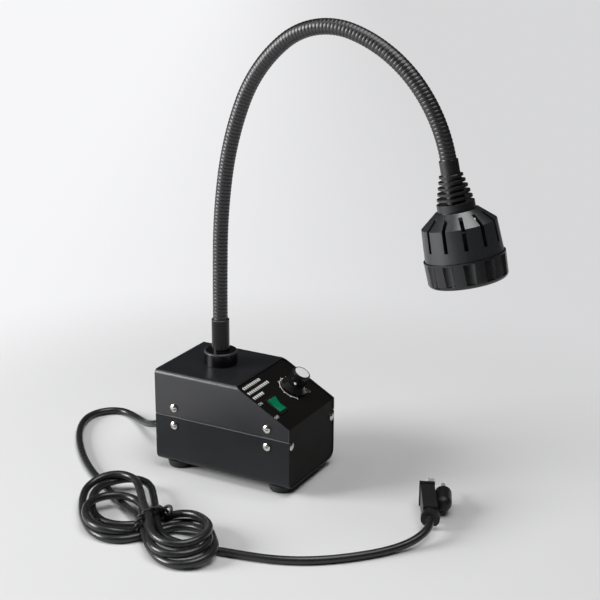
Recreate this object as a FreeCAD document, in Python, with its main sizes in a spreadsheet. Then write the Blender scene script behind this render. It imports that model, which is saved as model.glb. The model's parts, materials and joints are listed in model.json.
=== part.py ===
import FreeCAD, Part
import math
import os
import Sketcher

# Adjustable gooseneck halogen lamp on a transformer box.
# Frame: origin on the bench at the middle of the four feet, +X towards the control
# panel, +Y across the box, +Z up. Millimetres and degrees.

Vector = FreeCAD.Vector
X_AXIS = Vector(1, 0, 0)
Y_AXIS = Vector(0, 1, 0)
Z_AXIS = Vector(0, 0, 1)

doc = FreeCAD.newDocument("GooseneckLamp")

# ---------------------------------------------------------------- driving sizes
DRIVING_SIZES = {
    "case": {
        "case_length": 154, "case_width": 96, "case_height": 99,
        "top_flat": 93, "front_height": 65, "seam_height": 52.1, "seam_gap": 0.8,
        "steel": 1.2, "top_bend": 4.5, "bottom_bend": 9,
        "panel_recess": 1.5, "panel_inset": 0.8, "panel_side_gap": 0.4, "panel_tab": 9,
        "flange_width": 13, "strap_width": 12, "strap_steel": 1.5, "strap_height": 34,
        "side_screw_from_rear": 22.5, "side_screw_from_front": 24, "side_screw_from_seam": 9.4,
        "end_screw_from_side": 5.8, "end_screw_height": 45.8,
    },
    "feet": {
        "foot_height": 8, "foot_top_radius": 13, "foot_bottom_radius": 11.5,
        "foot_from_end": 17.5, "foot_from_side": 17, "foot_recess_radius": 5, "foot_recess_depth": 5,
    },
    "screws": {
        "screw_head_radius": 4, "screw_head_height": 2.6,
        "screw_shank_radius": 2, "screw_length": 7, "hole_clearance": 0.15, "foot_screw_length": 10,
        "small_head_radius": 2.6, "small_head_height": 1.6, "small_shank_radius": 1.5,
    },
    "neck": {
        "neck_from_rear": 48.8, "collar_radius": 17, "collar_height": 14.5,
        "ferrule_radius": 9, "ferrule_height": 33.2, "ferrule_socket_depth": 20,
        "stem_radius": 6, "stem_below_top": 14, "stem_bore_radius": 3.6, "neck_nut_flats": 19,
        "neck_nut_height": 5, "hose_radius": 7.5, "hose_bore_radius": 5.6, "ball_bore_radius": 3.2,
        "ball_neck_radius": 5, "ball_neck_length": 5, "joint_gap": 0.3, "slip_gap": 0.1,
        "span_length": 75, "angle_1": 1.5, "angle_2": 7.5, "angle_3": 13.2, "angle_4": 28.8,
        "angle_5": 55.7, "angle_6": 31.6, "angle_7": 29,
    },
    "boot": {
        "boot_length": 45.5, "boot_collar_radius": 17.3, "boot_collar_height": 7.3,
        "boot_core_radius": 9.2, "boot_sleeve_radius": 8.7, "boot_sleeve_length": 13,
        "boot_fins": 5, "fin_pitch": 5, "fin_thickness": 2.1, "fin_low_radius": 16.2,
        "fin_high_radius": 11, "nipple_flange_radius": 7.3, "boot_floor": 2, "nipple_grip": 12,
    },
    "head": {
        "shoulder_radius": 34.2, "shoulder_height": 12.3, "crown_radius": 19.9,
        "housing_length": 29.3, "housing_low_radius": 35.9, "housing_wall": 2.1,
        "spigot_radius": 33.4, "spigot_length": 16.6, "vent_slots": 12, "vent_width": 3.6,
        "vent_inner_radius": 23.5, "vent_length": 19.5, "vent_phase": -1.5,
        "ring_top_radius": 37.4, "ring_low_radius": 36.6, "ring_length": 23.9,
        "ring_corner": 4, "ring_mouth_radius": 29, "ring_lip": 2.2, "thread_gap": 0.3,
        "ring_grips": 12, "grip_radius": 7, "grip_depth": 1.9, "grip_phase": -2,
        "glass_thickness": 2.2, "glass_radius": 32.6, "gasket_width": 2,
    },
    "lamp": {
        "carrier_thickness": 1.2, "shield_radius": 28.5, "shield_length": 40,
        "reflector_radius": 25.3, "reflector_rim": 2.2,
        "reflector_length": 30, "reflector_neck_radius": 9.5, "reflector_wall": 1.8,
        "lamp_length": 38.5, "lamp_base_length": 15, "lamp_base_width": 8,
        "pin_spacing": 5.33, "pin_radius": 0.75, "pin_length": 7.3,
        "capsule_radius": 4.2, "capsule_length": 18, "holder_length": 20, "holder_width": 13,
        "holder_height": 9.5, "bracket_steel": 1, "head_nut_flats": 17, "head_nut_height": 3,
    },
    "controls": {
        "knob_along": 35.5, "knob_across": 16.3, "skirt_radius": 13.5, "skirt_rim": 1.8,
        "knob_radius": 9.2, "knob_height": 21.6, "knob_gap": 1.2, "knob_cavity_radius": 8,
        "knob_cavity_depth": 5.5, "cap_radius": 7.4, "cap_thickness": 0.8, "knob_grips": 18,
        "knob_grip_radius": 0.9, "shaft_radius": 3, "shaft_height": 16.5, "bush_radius": 3.5,
        "bush_height": 5, "pot_nut_flats": 11, "pot_nut_height": 2.2, "pot_radius": 8.5,
        "pot_depth": 9, "rocker_along": 41, "rocker_across": -27, "bezel_length": 22,
        "bezel_width": 15.4, "bezel_height": 1.8, "switch_length": 19.2, "switch_width": 12.8,
        "switch_depth": 17, "rocker_reach": 8.6, "rocker_width": 10.6, "rocker_gap": 0.3,
        "rocker_tip": 4, "rocker_waist": 2, "rocker_base": 1.5, "rocker_tilt": 10,
        "trunnion_radius": 1.2, "trunnion_reach": 0.7, "running_gap": 0.05,
        "terminal_thickness": 0.8, "terminal_width": 6.3, "terminal_length": 8,
        "board_screw_along": 47.5, "board_screw_across": 28.5,
    },
    "inside": {
        "core_length": 66, "core_depth": 27, "core_height": 55, "core_leg": 22,
        "core_from_rear": 62, "bobbin_gap": 0.4, "coil_overhang": 11, "frame_steel": 1.5,
        "frame_foot": 12, "nut_flats": 7, "nut_height": 3.2, "board_length": 44, "board_width": 40,
        "board_thickness": 1.6, "block_length": 10, "block_width": 26, "block_height": 13,
        "block_from_rear": 9, "block_from_side": 23, "wire_hole_radius": 2,
        "triac_length": 10, "triac_thickness": 4.5, "triac_height": 14, "triac_above_knob": 12,
        "capacitor_radius": 5.5, "capacitor_height": 14, "capacitor_below_knob": 10,
        "parts_beside_knob": 8, "post_radius": 3,
    },
    "cord": {
        "cord_radius": 3.8, "gland_length": 14, "gland_radius": 7, "gland_height": 24,
        "gland_stem_radius": 5.5, "gland_stem_length": 8, "gland_flange_radius": 9,
        "gland_flange_thickness": 2.5, "gland_wall": 1.4, "gland_nut_flats": 17, "gland_nut_height": 4,
        "hank_height": 22, "rear_lobe_x": -53, "rear_lobe_y": -158, "rear_lobe_long": 61,
        "rear_lobe_short": 36, "rear_lobe_heading": -56, "front_lobe_x": 36, "front_lobe_y": -187,
        "front_lobe_long": 52, "front_lobe_short": 39, "front_lobe_heading": -58,
        "tie_length": 26, "tie_width": 6, "tie_thickness": 1.5, "tie_x": -5, "tie_y": -167,
        "tie_heading": 35, "plug_x": 223, "plug_y": -38.5, "plug_heading": 113,
        "plug_length": 43, "plug_height": 25, "plug_thickness": 15, "plug_left": 11.2,
        "plug_face_length": 4, "plug_face_step": 0.8, "plug_heel_width": 14, "plug_heel_height": 14,
        "plug_collar_radius": 9, "plug_collar_length": 6, "plug_collar_height": 14,
        "plug_neck_length": 6, "plug_neck_radius": 6, "ground_lobe_radius": 8.3,
        "ground_lobe_length": 20, "ground_pin_radius": 2.38, "ground_pin_length": 20.6,
        "ground_pin_across": 12, "blade_from_ground": 11.9, "blade_spacing": 12.7,
        "blade_width": 6.35, "blade_thickness": 1.52, "blade_length": 17.9,
    },
}

sheet = doc.addObject("Spreadsheet::Sheet", "Sizes")


class Size:
    """A length or angle with the sheet formula that gives it."""

    def __init__(self, value, formula):
        self.value = value
        self.formula = formula

    def __add__(self, other):
        other = size(other)
        return Size(self.value + other.value, "(%s + %s)" % (self.formula, other.formula))

    def __sub__(self, other):
        other = size(other)
        return Size(self.value - other.value, "(%s - %s)" % (self.formula, other.formula))

    def __mul__(self, other):
        other = size(other)
        return Size(self.value * other.value, "%s * %s" % (self.formula, other.formula))

    def __truediv__(self, other):
        other = size(other)
        return Size(self.value / other.value, "%s / (%s)" % (self.formula, other.formula))

    def __neg__(self):
        return Size(-self.value, "(-1 * %s)" % self.formula)

    def __radd__(self, other):
        return size(other) + self

    def __rsub__(self, other):
        return size(other) - self

    def __rmul__(self, other):
        return size(other) * self


def size(number):
    """The number as a Size, with its own digits as the formula."""
    if isinstance(number, Size):
        return number
    return Size(float(number), "(%.9g)" % number)


def root(inner):
    return Size(math.sqrt(inner.value), "sqrt(%s)" % inner.formula)


def write_sheet():
    """Each driving size gets a row: its name and its plain number, with the name as alias."""
    named = {}
    row = 1
    for group, sizes in DRIVING_SIZES.items():
        sheet.set("A%d" % row, group)
        row += 1
        for name, number in sizes.items():
            sheet.set("A%d" % row, name)
            sheet.set("B%d" % row, str(number))
            sheet.setAlias("B%d" % row, name)
            named[name] = Size(float(number), "Sizes." + name)
            row += 1
    doc.recompute()
    return named


class Sizes:
    """The driving sizes as attributes."""

    def __init__(self, named):
        self.__dict__.update(named)


S = Sizes(write_sheet())
NODES = []


# ---------------------------------------------------------------- making things
def bind(thing, name, value):
    """Sets a property to a size, through the sheet where the size comes from it."""
    value = size(value)
    setattr(thing, name, value.value)
    if "Sizes" in value.formula:
        thing.setExpression(name, value.formula)


def place(thing, x=0, y=0, z=0, axis=Z_AXIS, angle=0):
    """Puts the object's own origin at x, y, z, turned by the angle about the axis."""
    x, y, z, turn = size(x), size(y), size(z), size(angle)
    rotation = FreeCAD.Rotation(axis, turn.value)
    thing.Placement = FreeCAD.Placement(Vector(x.value, y.value, z.value), rotation)
    for part, value in (("x", x), ("y", y), ("z", z)):
        if "Sizes" in value.formula:
            thing.setExpression("Placement.Base." + part, value.formula)
    if "Sizes" in turn.formula:
        thing.setExpression("Placement.Rotation.Angle", turn.formula)
    return thing


def block(name, length, width, height, x=0, y=0, z=0):
    """A box from its low corner."""
    box = doc.addObject("Part::Box", name)
    bind(box, "Length", length)
    bind(box, "Width", width)
    bind(box, "Height", height)
    return place(box, x, y, z)


def centred(name, length, width, height, x=0, y=0, z=0):
    """A box standing on z, centred on x and y."""
    return block(name, length, width, height, x - size(length) / 2, y - size(width) / 2, z)


def rod(name, radius, length, x=0, y=0, z=0, along="z"):
    """A cylinder that starts at the point and runs along the named axis."""
    turns = {"z": (Z_AXIS, 0), "x": (Y_AXIS, 90), "-x": (Y_AXIS, -90), "y": (X_AXIS, -90), "-y": (X_AXIS, 90)}
    cylinder = doc.addObject("Part::Cylinder", name)
    bind(cylinder, "Radius", radius)
    bind(cylinder, "Height", length)
    axis, angle = turns[along]
    return place(cylinder, x, y, z, axis, angle)


def ball(name, radius, x=0, y=0, z=0):
    sphere = doc.addObject("Part::Sphere", name)
    bind(sphere, "Radius", radius)
    return place(sphere, x, y, z)


def hexagon(name, flats, height, x=0, y=0, z=0, axis=Z_AXIS, angle=0):
    """A nut's outer shape, by its width across the flats."""
    prism = doc.addObject("Part::Prism", name)
    prism.Polygon = 6
    bind(prism, "Circumradius", flats / math.sqrt(3))
    bind(prism, "Height", height)
    return place(prism, x, y, z, axis, angle)


def cut(name, base, *tools):
    """The base without the tools."""
    result = doc.addObject("Part::Cut", name)
    result.Base = base
    result.Tool = tools[0] if len(tools) == 1 else joined(name + "_tools", *tools)
    return result


def joined(name, *parts):
    result = doc.addObject("Part::MultiFuse", name)
    result.Shapes = list(parts)
    return result


def shared(name, first, second):
    """What two solids have in common."""
    result = doc.addObject("Part::Common", name)
    result.Base = first
    result.Tool = second
    return result


def group(name, *parts):
    """Separate solids in one node, such as a set of identical screws."""
    result = doc.addObject("Part::Compound", name)
    result.Links = list(parts)
    return result


def copy_of(name, original, x=0, y=0, z=0, axis=Z_AXIS, angle=0):
    """A link to the original at another place."""
    link = doc.addObject("App::Link", name)
    link.LinkedObject = original
    link.LinkTransform = False
    return place(link, x, y, z, axis, angle)


def keep(node, thing):
    """Names the finished piece: its label is its file's name."""
    thing.Label = node
    NODES.append(thing)
    return thing


def origin_plane(body, role):
    return [feature for feature in body.Origin.OriginFeatures if feature.Role == role][0]


def draw_outline(sketch, points):
    """Closes the points with lines; a third number bulges the way to a point with an arc.

    The number is the arc's radius: above 0 the arc turns left, below 0 it turns right.
    """
    corners = [(size(point[0]), size(point[1])) for point in points]
    ends = []
    for i, point in enumerate(points):
        start, end = corners[i - 1], corners[i]
        a = Vector(start[0].value, start[1].value, 0)
        b = Vector(end[0].value, end[1].value, 0)
        radius = size(point[2]) if len(point) > 2 else size(0)
        if radius.value == 0:
            line = sketch.addGeometry(Part.LineSegment(a, b), False)
            ends.append((line, 1, 2))
            continue
        turn = math.copysign(1, radius.value)
        chord = b - a
        reach = math.sqrt(max(radius.value ** 2 - chord.Length ** 2 / 4, 0))
        side = Vector(-chord.y, chord.x, 0).normalize() * turn * reach
        centre = (a + b) * 0.5 + side
        first, last = (a, b) if turn > 0 else (b, a)
        angles = [math.atan2(end_.y - centre.y, end_.x - centre.x) for end_ in (first, last)]
        circle = Part.Circle(centre, Z_AXIS, abs(radius.value))
        arc = sketch.addGeometry(Part.ArcOfCircle(circle, angles[0], angles[1]), False)
        rule = sketch.addConstraint(Sketcher.Constraint("Radius", arc, abs(radius.value)))
        sketch.setExpression("Constraints[%d]" % rule, (radius * turn).formula)
        ends.append((arc, 1, 2) if turn > 0 else (arc, 2, 1))
    for i, (curve, start, end) in enumerate(ends):
        before = ends[i - 1]
        sketch.addConstraint(Sketcher.Constraint("Coincident", before[0], before[2], curve, start))
        for kind, value in (("DistanceX", corners[i][0]), ("DistanceY", corners[i][1])):
            rule = sketch.addConstraint(Sketcher.Constraint(kind, -1, 1, curve, end, value.value))
            sketch.setExpression("Constraints[%d]" % rule, value.formula)


def sketch_on(body, role, *outlines):
    sketch = body.newObject("Sketcher::SketchObject", body.Name + "_sketch")
    sketch.AttachmentSupport = [(origin_plane(body, role), "")]
    sketch.MapMode = "FlatFace"
    for outline in outlines:
        draw_outline(sketch, outline)
    return sketch


def turned(name, outline):
    """A body of revolution about its own Z, from an outline of radius and height."""
    body = doc.addObject("PartDesign::Body", name)
    sketch = sketch_on(body, "XZ_Plane", outline)
    turning = body.newObject("PartDesign::Revolution", name + "_turning")
    turning.Profile = sketch
    turning.ReferenceAxis = (sketch, ["V_Axis"])
    turning.Angle = 360
    return body


def padded(name, role, outline, length):
    """A body padded both ways from one of its own planes, over the whole length."""
    body = doc.addObject("PartDesign::Body", name)
    sketch = sketch_on(body, role, outline)
    pad = body.newObject("PartDesign::Pad", name + "_pad")
    pad.Profile = sketch
    bind(pad, "Length", length)
    pad.Midplane = True
    return body


def around(count, phase=0):
    """The turn of each of the evenly spaced copies, in degrees."""
    copies = int(count.value)
    return [size(phase).value + 360.0 * i / copies for i in range(copies)]


def cosine(degrees):
    return math.cos(math.radians(degrees))


def sine(degrees):
    return math.sin(math.radians(degrees))


# ---------------------------------------------------------------- places worked out once
half_length = S.case_length / 2
half_width = S.case_width / 2
bottom = S.foot_height
top = bottom + S.case_height
seam = bottom + S.seam_height
inner_half = half_width - S.steel
slope_x = S.top_flat - half_length
rise = S.case_height - S.front_height
run = S.case_length - S.top_flat
slope = root(rise * rise + run * run)
slope_cos = run / slope
slope_sin = rise / slope
slope_angle = Size(math.degrees(math.atan2(rise.value, run.value)),
                   "atan2(%s; %s)" % (rise.formula, run.formula))
shank_hole = S.screw_shank_radius + S.hole_clearance
transformer_x = S.core_from_rear - half_length
frame_bolt_x = S.core_length / 2 + S.frame_steel + S.frame_foot / 2
neck_x = S.neck_from_rear - half_length
ferrule_top = top + S.collar_height + S.ferrule_height


def on_slope(thing, along, across, above=0):
    """Puts a piece on the sloping panel: along down the slope, across, and out of its face."""
    above = size(above) - S.panel_recess
    x = slope_x + slope_cos * along + slope_sin * above
    z = top - slope_sin * along + slope_cos * above
    return place(thing, x, across, z, Y_AXIS, slope_angle)


def slope_block(name, length, width, height, along, across, above):
    """A box centred on its place on the panel, standing out from the height above its face."""
    box = block(name, length, width, height)
    return on_slope(box, along - size(length) / 2, across - size(width) / 2, above)


def slope_height(x, depth):
    """Height of the sloping line that lies the depth below the side plates' edge."""
    return top - (x - slope_x) * rise / run - depth / slope_cos


def slope_reach(z, depth):
    """Where that line passes the height."""
    return slope_x + (top - depth / slope_cos - z) * run / rise


# ---------------------------------------------------------------- case
def screw_body(name, length):
    """A domed pan-head screw, its seat at z 0 and its shank below."""
    rim = S.screw_head_height / 2
    dome = (S.screw_head_radius * S.screw_head_radius + rim * rim) / (rim * 2)
    return turned(name, [
        (0, -length), (S.screw_shank_radius, -length), (S.screw_shank_radius, 0),
        (S.screw_head_radius, 0), (S.screw_head_radius, rim), (0, S.screw_head_height, dome),
    ])


SIDE_FACES = ((-1, X_AXIS, 90), (1, X_AXIS, -90))
END_FACES = ((-1, Y_AXIS, -90), (1, Y_AXIS, 90))
side_screw_x = (S.side_screw_from_rear - half_length, half_length - S.side_screw_from_front)
end_screw_y = half_width - S.end_screw_from_side
end_screw_z = bottom + S.end_screw_height


def side_holes(name):
    """Holes for the side screws, right across the case."""
    holes = []
    for x in side_screw_x:
        for step in (-1, 1):
            z = seam + S.side_screw_from_seam * step
            holes.append(rod("%s_%d" % (name, len(holes)), shank_hole, S.case_width + 2, x,
                             -half_width - 1, z, "y"))
    return holes


def channel(name, low, bend, high, up):
    """A folded cover's section: a flat sheet with both sides bent, open above or below."""
    outer, inner = half_width, inner_half
    turn = bend - S.steel
    if up:
        flat, sides, way = low, high, 1
    else:
        flat, sides, way = high, low, -1
    steel = S.steel * way
    outline = [
        (-outer, sides), (-outer, flat + bend * way), (bend - outer, flat, bend * way),
        (outer - bend, flat), (outer, flat + bend * way, bend * way), (outer, sides), (inner, sides),
        (inner, flat + bend * way), (inner - turn, flat + steel, -turn * way), (turn - inner, flat + steel),
        (-inner, flat + bend * way, -turn * way), (-inner, sides),
    ]
    return padded(name, "YZ_Plane", outline, S.case_length)


def top_cover():
    folded = channel("top_fold", seam + S.seam_gap / 2, S.top_bend, top, False)
    beyond = half_length + 5
    wedge = padded("slope_wedge", "XZ_Plane", [
        (slope_x, top), (beyond, slope_height(beyond, size(0))), (beyond, top + 5), (slope_x, top + 5),
    ], S.case_width + 4)
    stem_hole = rod("stem_hole", S.stem_radius + S.hole_clearance, 10, neck_x, 0, top - 5)
    return cut("top_cover", folded, wedge, stem_hole, *side_holes("top_hole"))


def foot_places():
    x = half_length - S.foot_from_end
    y = half_width - S.foot_from_side
    return [(x * i, y * j) for i in (-1, 1) for j in (-1, 1)]


def bottom_cover():
    folded = channel("bottom_fold", bottom, S.bottom_bend, seam - S.seam_gap / 2, True)
    pieces = [folded]
    low = bottom + S.bottom_bend + 2
    face = half_length - S.panel_inset - S.steel
    for i in (-1, 1):
        for j in (-1, 1):
            x = face * i - (S.steel if i > 0 else size(0))
            y = (inner_half - S.flange_width) if j > 0 else -inner_half - S.steel / 2
            pieces.append(block("flange_%d_%d" % (i, j), S.steel, S.flange_width + S.steel / 2,
                                seam - S.seam_gap - low, x, y, low))
    sheet_metal = joined("bottom_with_flanges", *pieces)
    holes = side_holes("bottom_hole")
    for i, (x, y) in enumerate(foot_places()):
        holes.append(rod("foot_hole_%d" % i, shank_hole, 6, x, y, bottom - 2))
    for i in (-1, 1):
        holes.append(rod("frame_hole_%d" % i, shank_hole, 6, transformer_x + frame_bolt_x * i, 0, bottom - 2))
    for j in (-1, 1):
        holes.append(rod("end_hole_%d" % j, shank_hole, S.case_length + 10, -half_length - 5, end_screw_y * j,
                         end_screw_z, "x"))
    return cut("bottom_cover", sheet_metal, *holes)


def inside_of_case(name, length):
    """The space between the folded covers, less the panels' side gap."""
    gap = S.panel_side_gap
    side = inner_half - gap
    high, low = top - S.steel, bottom + S.steel
    upper, lower = S.top_bend, S.bottom_bend
    return padded(name, "YZ_Plane", [
        (-side, low + lower), (lower - side, low, lower), (side - lower, low), (side, low + lower, lower),
        (side, high - upper), (side - upper, high, upper), (upper - side, high),
        (-side, high - upper, upper),
    ], length)


def control_panel():
    """One bent sheet: a tab under the top cover, the slope and the upright front."""
    steel, recess = S.steel, S.panel_recess
    face = half_length - S.panel_inset
    tab_top = top - steel
    bent = padded("panel_fold", "XZ_Plane", [
        (slope_x - S.panel_tab, tab_top), (slope_x - S.panel_tab, tab_top - steel),
        (slope_reach(tab_top - steel, recess + steel), tab_top - steel),
        (face - steel, slope_height(face - steel, recess + steel)), (face - steel, bottom + steel),
        (face, bottom + steel), (face, slope_height(face, recess)), (slope_reach(tab_top, recess), tab_top),
    ], S.case_width)
    trimmed = shared("panel_trimmed", bent, inside_of_case("panel_space", S.case_length))
    holes = [
        slope_block("rocker_cutout", S.switch_length + 0.3, S.switch_width + 0.3, 8,
                    S.rocker_along, S.rocker_across, -4),
        on_slope(rod("bush_hole", S.bush_radius + S.hole_clearance, 8), S.knob_along, S.knob_across, -4),
        on_slope(rod("board_screw_hole", shank_hole, 8), S.board_screw_along, S.board_screw_across, -4),
    ]
    for j in (-1, 1):
        holes.append(rod("front_hole_%d" % j, shank_hole, 12, half_length - 8, end_screw_y * j,
                         end_screw_z, "x"))
    return cut("control_panel", trimmed, *holes)


def rear_panel():
    face = -half_length + S.panel_inset
    sheet_metal = shared("rear_sheet", inside_of_case("rear_space", S.case_length),
                         block("rear_slice", S.steel, S.case_width, S.case_height, face, -half_width, bottom))
    holes = [rod("gland_hole", S.gland_stem_radius + S.hole_clearance, 12, -half_length - 5, 0,
                 S.gland_height, "x")]
    for j in (-1, 1):
        holes.append(rod("rear_hole_%d" % j, shank_hole, 12, -half_length - 5, end_screw_y * j,
                         end_screw_z, "x"))
    return cut("rear_panel", sheet_metal, *holes)


def joint_straps():
    """Strips behind the seam that the side screws of both covers hold."""
    strips = []
    for i, x in enumerate(side_screw_x):
        for j in (-1, 1):
            y = inner_half - S.strap_steel if j > 0 else -inner_half
            strip = block("strip_%d_%d" % (i, j), S.strap_width, S.strap_steel, S.strap_height,
                          x - S.strap_width / 2, y, seam - S.strap_height / 2)
            holes = [rod("strip_hole_%d_%d_%d" % (i, j, k), shank_hole, S.case_width + 2, x, -half_width - 1,
                         seam + S.side_screw_from_seam * k, "y") for k in (-1, 1)]
            strips.append(cut("strap_%d_%d" % (i, j), strip, *holes))
    return group("joint_straps", *strips)


def case_screws():
    """Four screws in each side, two in the front and two in the rear."""
    screw = screw_body("case_screw", S.screw_length)
    screws = []
    for side, axis, angle in SIDE_FACES:
        for x in side_screw_x:
            for k in (-1, 1):
                z = seam + S.side_screw_from_seam * k
                screws.append(copy_of("side_screw_%d" % len(screws), screw, x, half_width * side, z,
                                      axis, angle))
    for end, axis, angle in END_FACES:
        x = (half_length - S.panel_inset) * end
        for j in (-1, 1):
            screws.append(copy_of("end_screw_%d" % len(screws), screw, x, end_screw_y * j, end_screw_z,
                                  axis, angle))
    keep("case_screws", group("case_screws", *screws))


def feet():
    foot = turned("foot", [
        (shank_hole, S.foot_recess_depth), (S.foot_recess_radius, S.foot_recess_depth),
        (S.foot_recess_radius, 0), (S.foot_bottom_radius - 1, 0), (S.foot_bottom_radius, 1),
        (S.foot_top_radius, S.foot_height), (shank_hole, S.foot_height),
    ])
    screw = screw_body("foot_screw", S.foot_screw_length)
    places = foot_places()
    keep("feet", group("feet", *[copy_of("foot_%d" % i, foot, x, y) for i, (x, y) in enumerate(places)]))
    keep("foot_screws", group("foot_screws", *[
        copy_of("foot_screw_%d" % i, screw, x, y, S.foot_recess_depth, X_AXIS, 180)
        for i, (x, y) in enumerate(places)]))


# ---------------------------------------------------------------- neck
def neck_collar():
    edge = 1
    bore = S.stem_radius + S.slip_gap
    return place(turned("neck_collar", [
        (bore, 0), (S.collar_radius, 0), (S.collar_radius, S.collar_height - edge),
        (S.collar_radius - edge, S.collar_height), (bore, S.collar_height),
    ]), neck_x, 0, top)


def neck_ferrule():
    """The sleeve that grips the hose, with the threaded stem that goes down through the collar."""
    socket = S.hose_radius + S.slip_gap
    stem_end = -(S.collar_height + S.stem_below_top)
    floor = S.ferrule_height - S.ferrule_socket_depth
    return place(turned("neck_ferrule", [
        (S.stem_bore_radius, stem_end), (S.stem_radius, stem_end), (S.stem_radius, 0),
        (S.ferrule_radius, 0), (S.ferrule_radius, S.ferrule_height - 0.6),
        (S.ferrule_radius - 0.6, S.ferrule_height), (socket, S.ferrule_height), (socket, floor),
        (S.stem_bore_radius, floor),
    ]), neck_x, 0, top + S.collar_height)


def pierced_nut(name, flats, height, hole):
    """A hexagon nut on its own origin."""
    return cut(name, hexagon(name + "_blank", flats, height),
               rod(name + "_thread", hole, height + 2, 0, 0, -1))


class Pose:
    """A point of the hose's centre line in the plane y 0, and its heading from straight up."""

    def __init__(self, x, z, heading):
        self.point = Vector(x, 0, z)
        self.heading = heading
        self.forward = Vector(sine(heading), 0, cosine(heading))

    def after(self, length, turn):
        """The pose at the end of an arc of this length and turn."""
        if abs(turn) < 1e-6:
            straight = self.point + self.forward * length
            return Pose(straight.x, straight.z, self.heading)
        radius = length / math.radians(turn)
        end = self.heading + turn
        x = self.point.x + radius * (cosine(self.heading) - cosine(end))
        z = self.point.z + radius * (sine(end) - sine(self.heading))
        return Pose(x, z, end)


def bent_tube(pose, length, turn, outer, bore):
    """A tube along the arc that leaves the pose."""
    rings = [Part.Wire(Part.Circle(pose.point, pose.forward, radius).toShape()) for radius in (outer, bore)]
    section = Part.makeFace(rings, "Part::FaceMakerBullseye")
    if abs(turn) < 1e-6:
        return section.extrude(pose.forward * length)
    radius = length / math.radians(turn)
    inward = Vector(cosine(pose.heading), 0, -sine(pose.heading))
    return section.revolve(pose.point + inward * radius, Y_AXIS, turn)


def neck_span(pose, length, turn, starts_in_socket, ends_in_ball):
    """One stiff length of the hose: it takes the ball below and carries one above."""
    outer, bore, eye = S.hose_radius.value, S.hose_bore_radius.value, S.ball_bore_radius.value
    waist = S.ball_neck_length.value if ends_in_ball else 0
    closing = 2 if ends_in_ball else 0
    share = turn / length
    main = length - waist - closing
    shape = bent_tube(pose, main, share * main, outer, bore)
    if ends_in_ball:
        shut = pose.after(main, share * main)
        shape = shape.fuse(bent_tube(shut, closing, share * closing, outer, eye))
        thin = shut.after(closing, share * closing)
        shape = shape.fuse(bent_tube(thin, waist, share * waist, S.ball_neck_radius.value, eye))
        end = pose.after(length, turn)
        knuckle = Part.makeSphere(outer, end.point)
        hole = Part.makeCylinder(eye, 4 * outer, end.point - end.forward * 2 * outer, end.forward)
        inside = Part.makeCylinder(bore, 3 * outer, thin.point - end.forward * 3 * outer, end.forward)
        shape = shape.fuse(knuckle.cut(hole).cut(inside))
    if starts_in_socket:
        shape = shape.cut(Part.makeSphere(outer + S.joint_gap.value, pose.point))
    return shape


def solid_feature(name, shape):
    feature = doc.addObject("Part::Feature", name)
    feature.Shape = shape
    return feature


def neck_poses():
    """The centre line's pose at the end of each span, measured from the ferrule's mouth."""
    poses = [Pose(0, 0, 0)]
    for turn in span_turns:
        poses.append(poses[-1].after(S.span_length.value, turn))
    return poses


def weld(shape, other):
    """Joins two tubes end to end; their end faces meet to within a micrometre."""
    return shape.fuse([other], 0.001)


def neck_spans():
    outer, bore = S.hose_radius.value, S.hose_bore_radius.value
    last = len(span_turns) - 1
    for i, turn in enumerate(span_turns):
        shape = neck_span(poses[i], S.span_length.value, turn, i > 0, i < last)
        if i == 0:
            foot = Pose(0, -S.ferrule_socket_depth.value, 0)
            shape = weld(shape, bent_tube(foot, S.ferrule_socket_depth.value, 0, outer, bore))
        if i == last:
            shape = weld(shape, bent_tube(poses[-1], hose_in_boot.value, 0, outer, bore))
        span = solid_feature("neck_span_%d" % (i + 1), shape.removeSplitter())
        span.Placement = FreeCAD.Placement(ferrule_mouth, FreeCAD.Rotation())
        keep("neck_span_%d" % (i + 1), span)


span_turns = [S.angle_1.value, S.angle_2.value, S.angle_3.value, S.angle_4.value, S.angle_5.value,
              S.angle_6.value, S.angle_7.value]
poses = neck_poses()
ferrule_mouth = Vector(neck_x.value, 0, ferrule_top.value)

# ---------------------------------------------------------------- lamp head, in its own frame
# The head's own frame: z 0 at the housing's shoulder, z up towards the hose.
boot_top = S.shoulder_height + S.boot_length
nipple_top = S.shoulder_height + S.boot_floor + S.nipple_grip
hose_in_boot = boot_top - nipple_top
head_tilt = poses[-1].heading - 180
shoulder = ferrule_mouth + poses[-1].point + poses[-1].forward * boot_top.value
head_frame = FreeCAD.Placement(shoulder, FreeCAD.Rotation(Y_AXIS, head_tilt))
housing_end = -S.housing_length
spigot_end = housing_end - S.spigot_length
ring_top = housing_end - S.thread_gap
ring_end = ring_top - S.ring_length
glass_low = ring_end + S.ring_lip + S.thread_gap
glass_high = glass_low + S.glass_thickness
lamp_front = spigot_end + S.carrier_thickness
lamp_back = lamp_front + S.lamp_length
crown_inside = S.shoulder_height - S.housing_wall
spigot_bore = S.spigot_radius - S.housing_wall


def in_head(thing):
    thing.Placement = head_frame
    return thing


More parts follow.
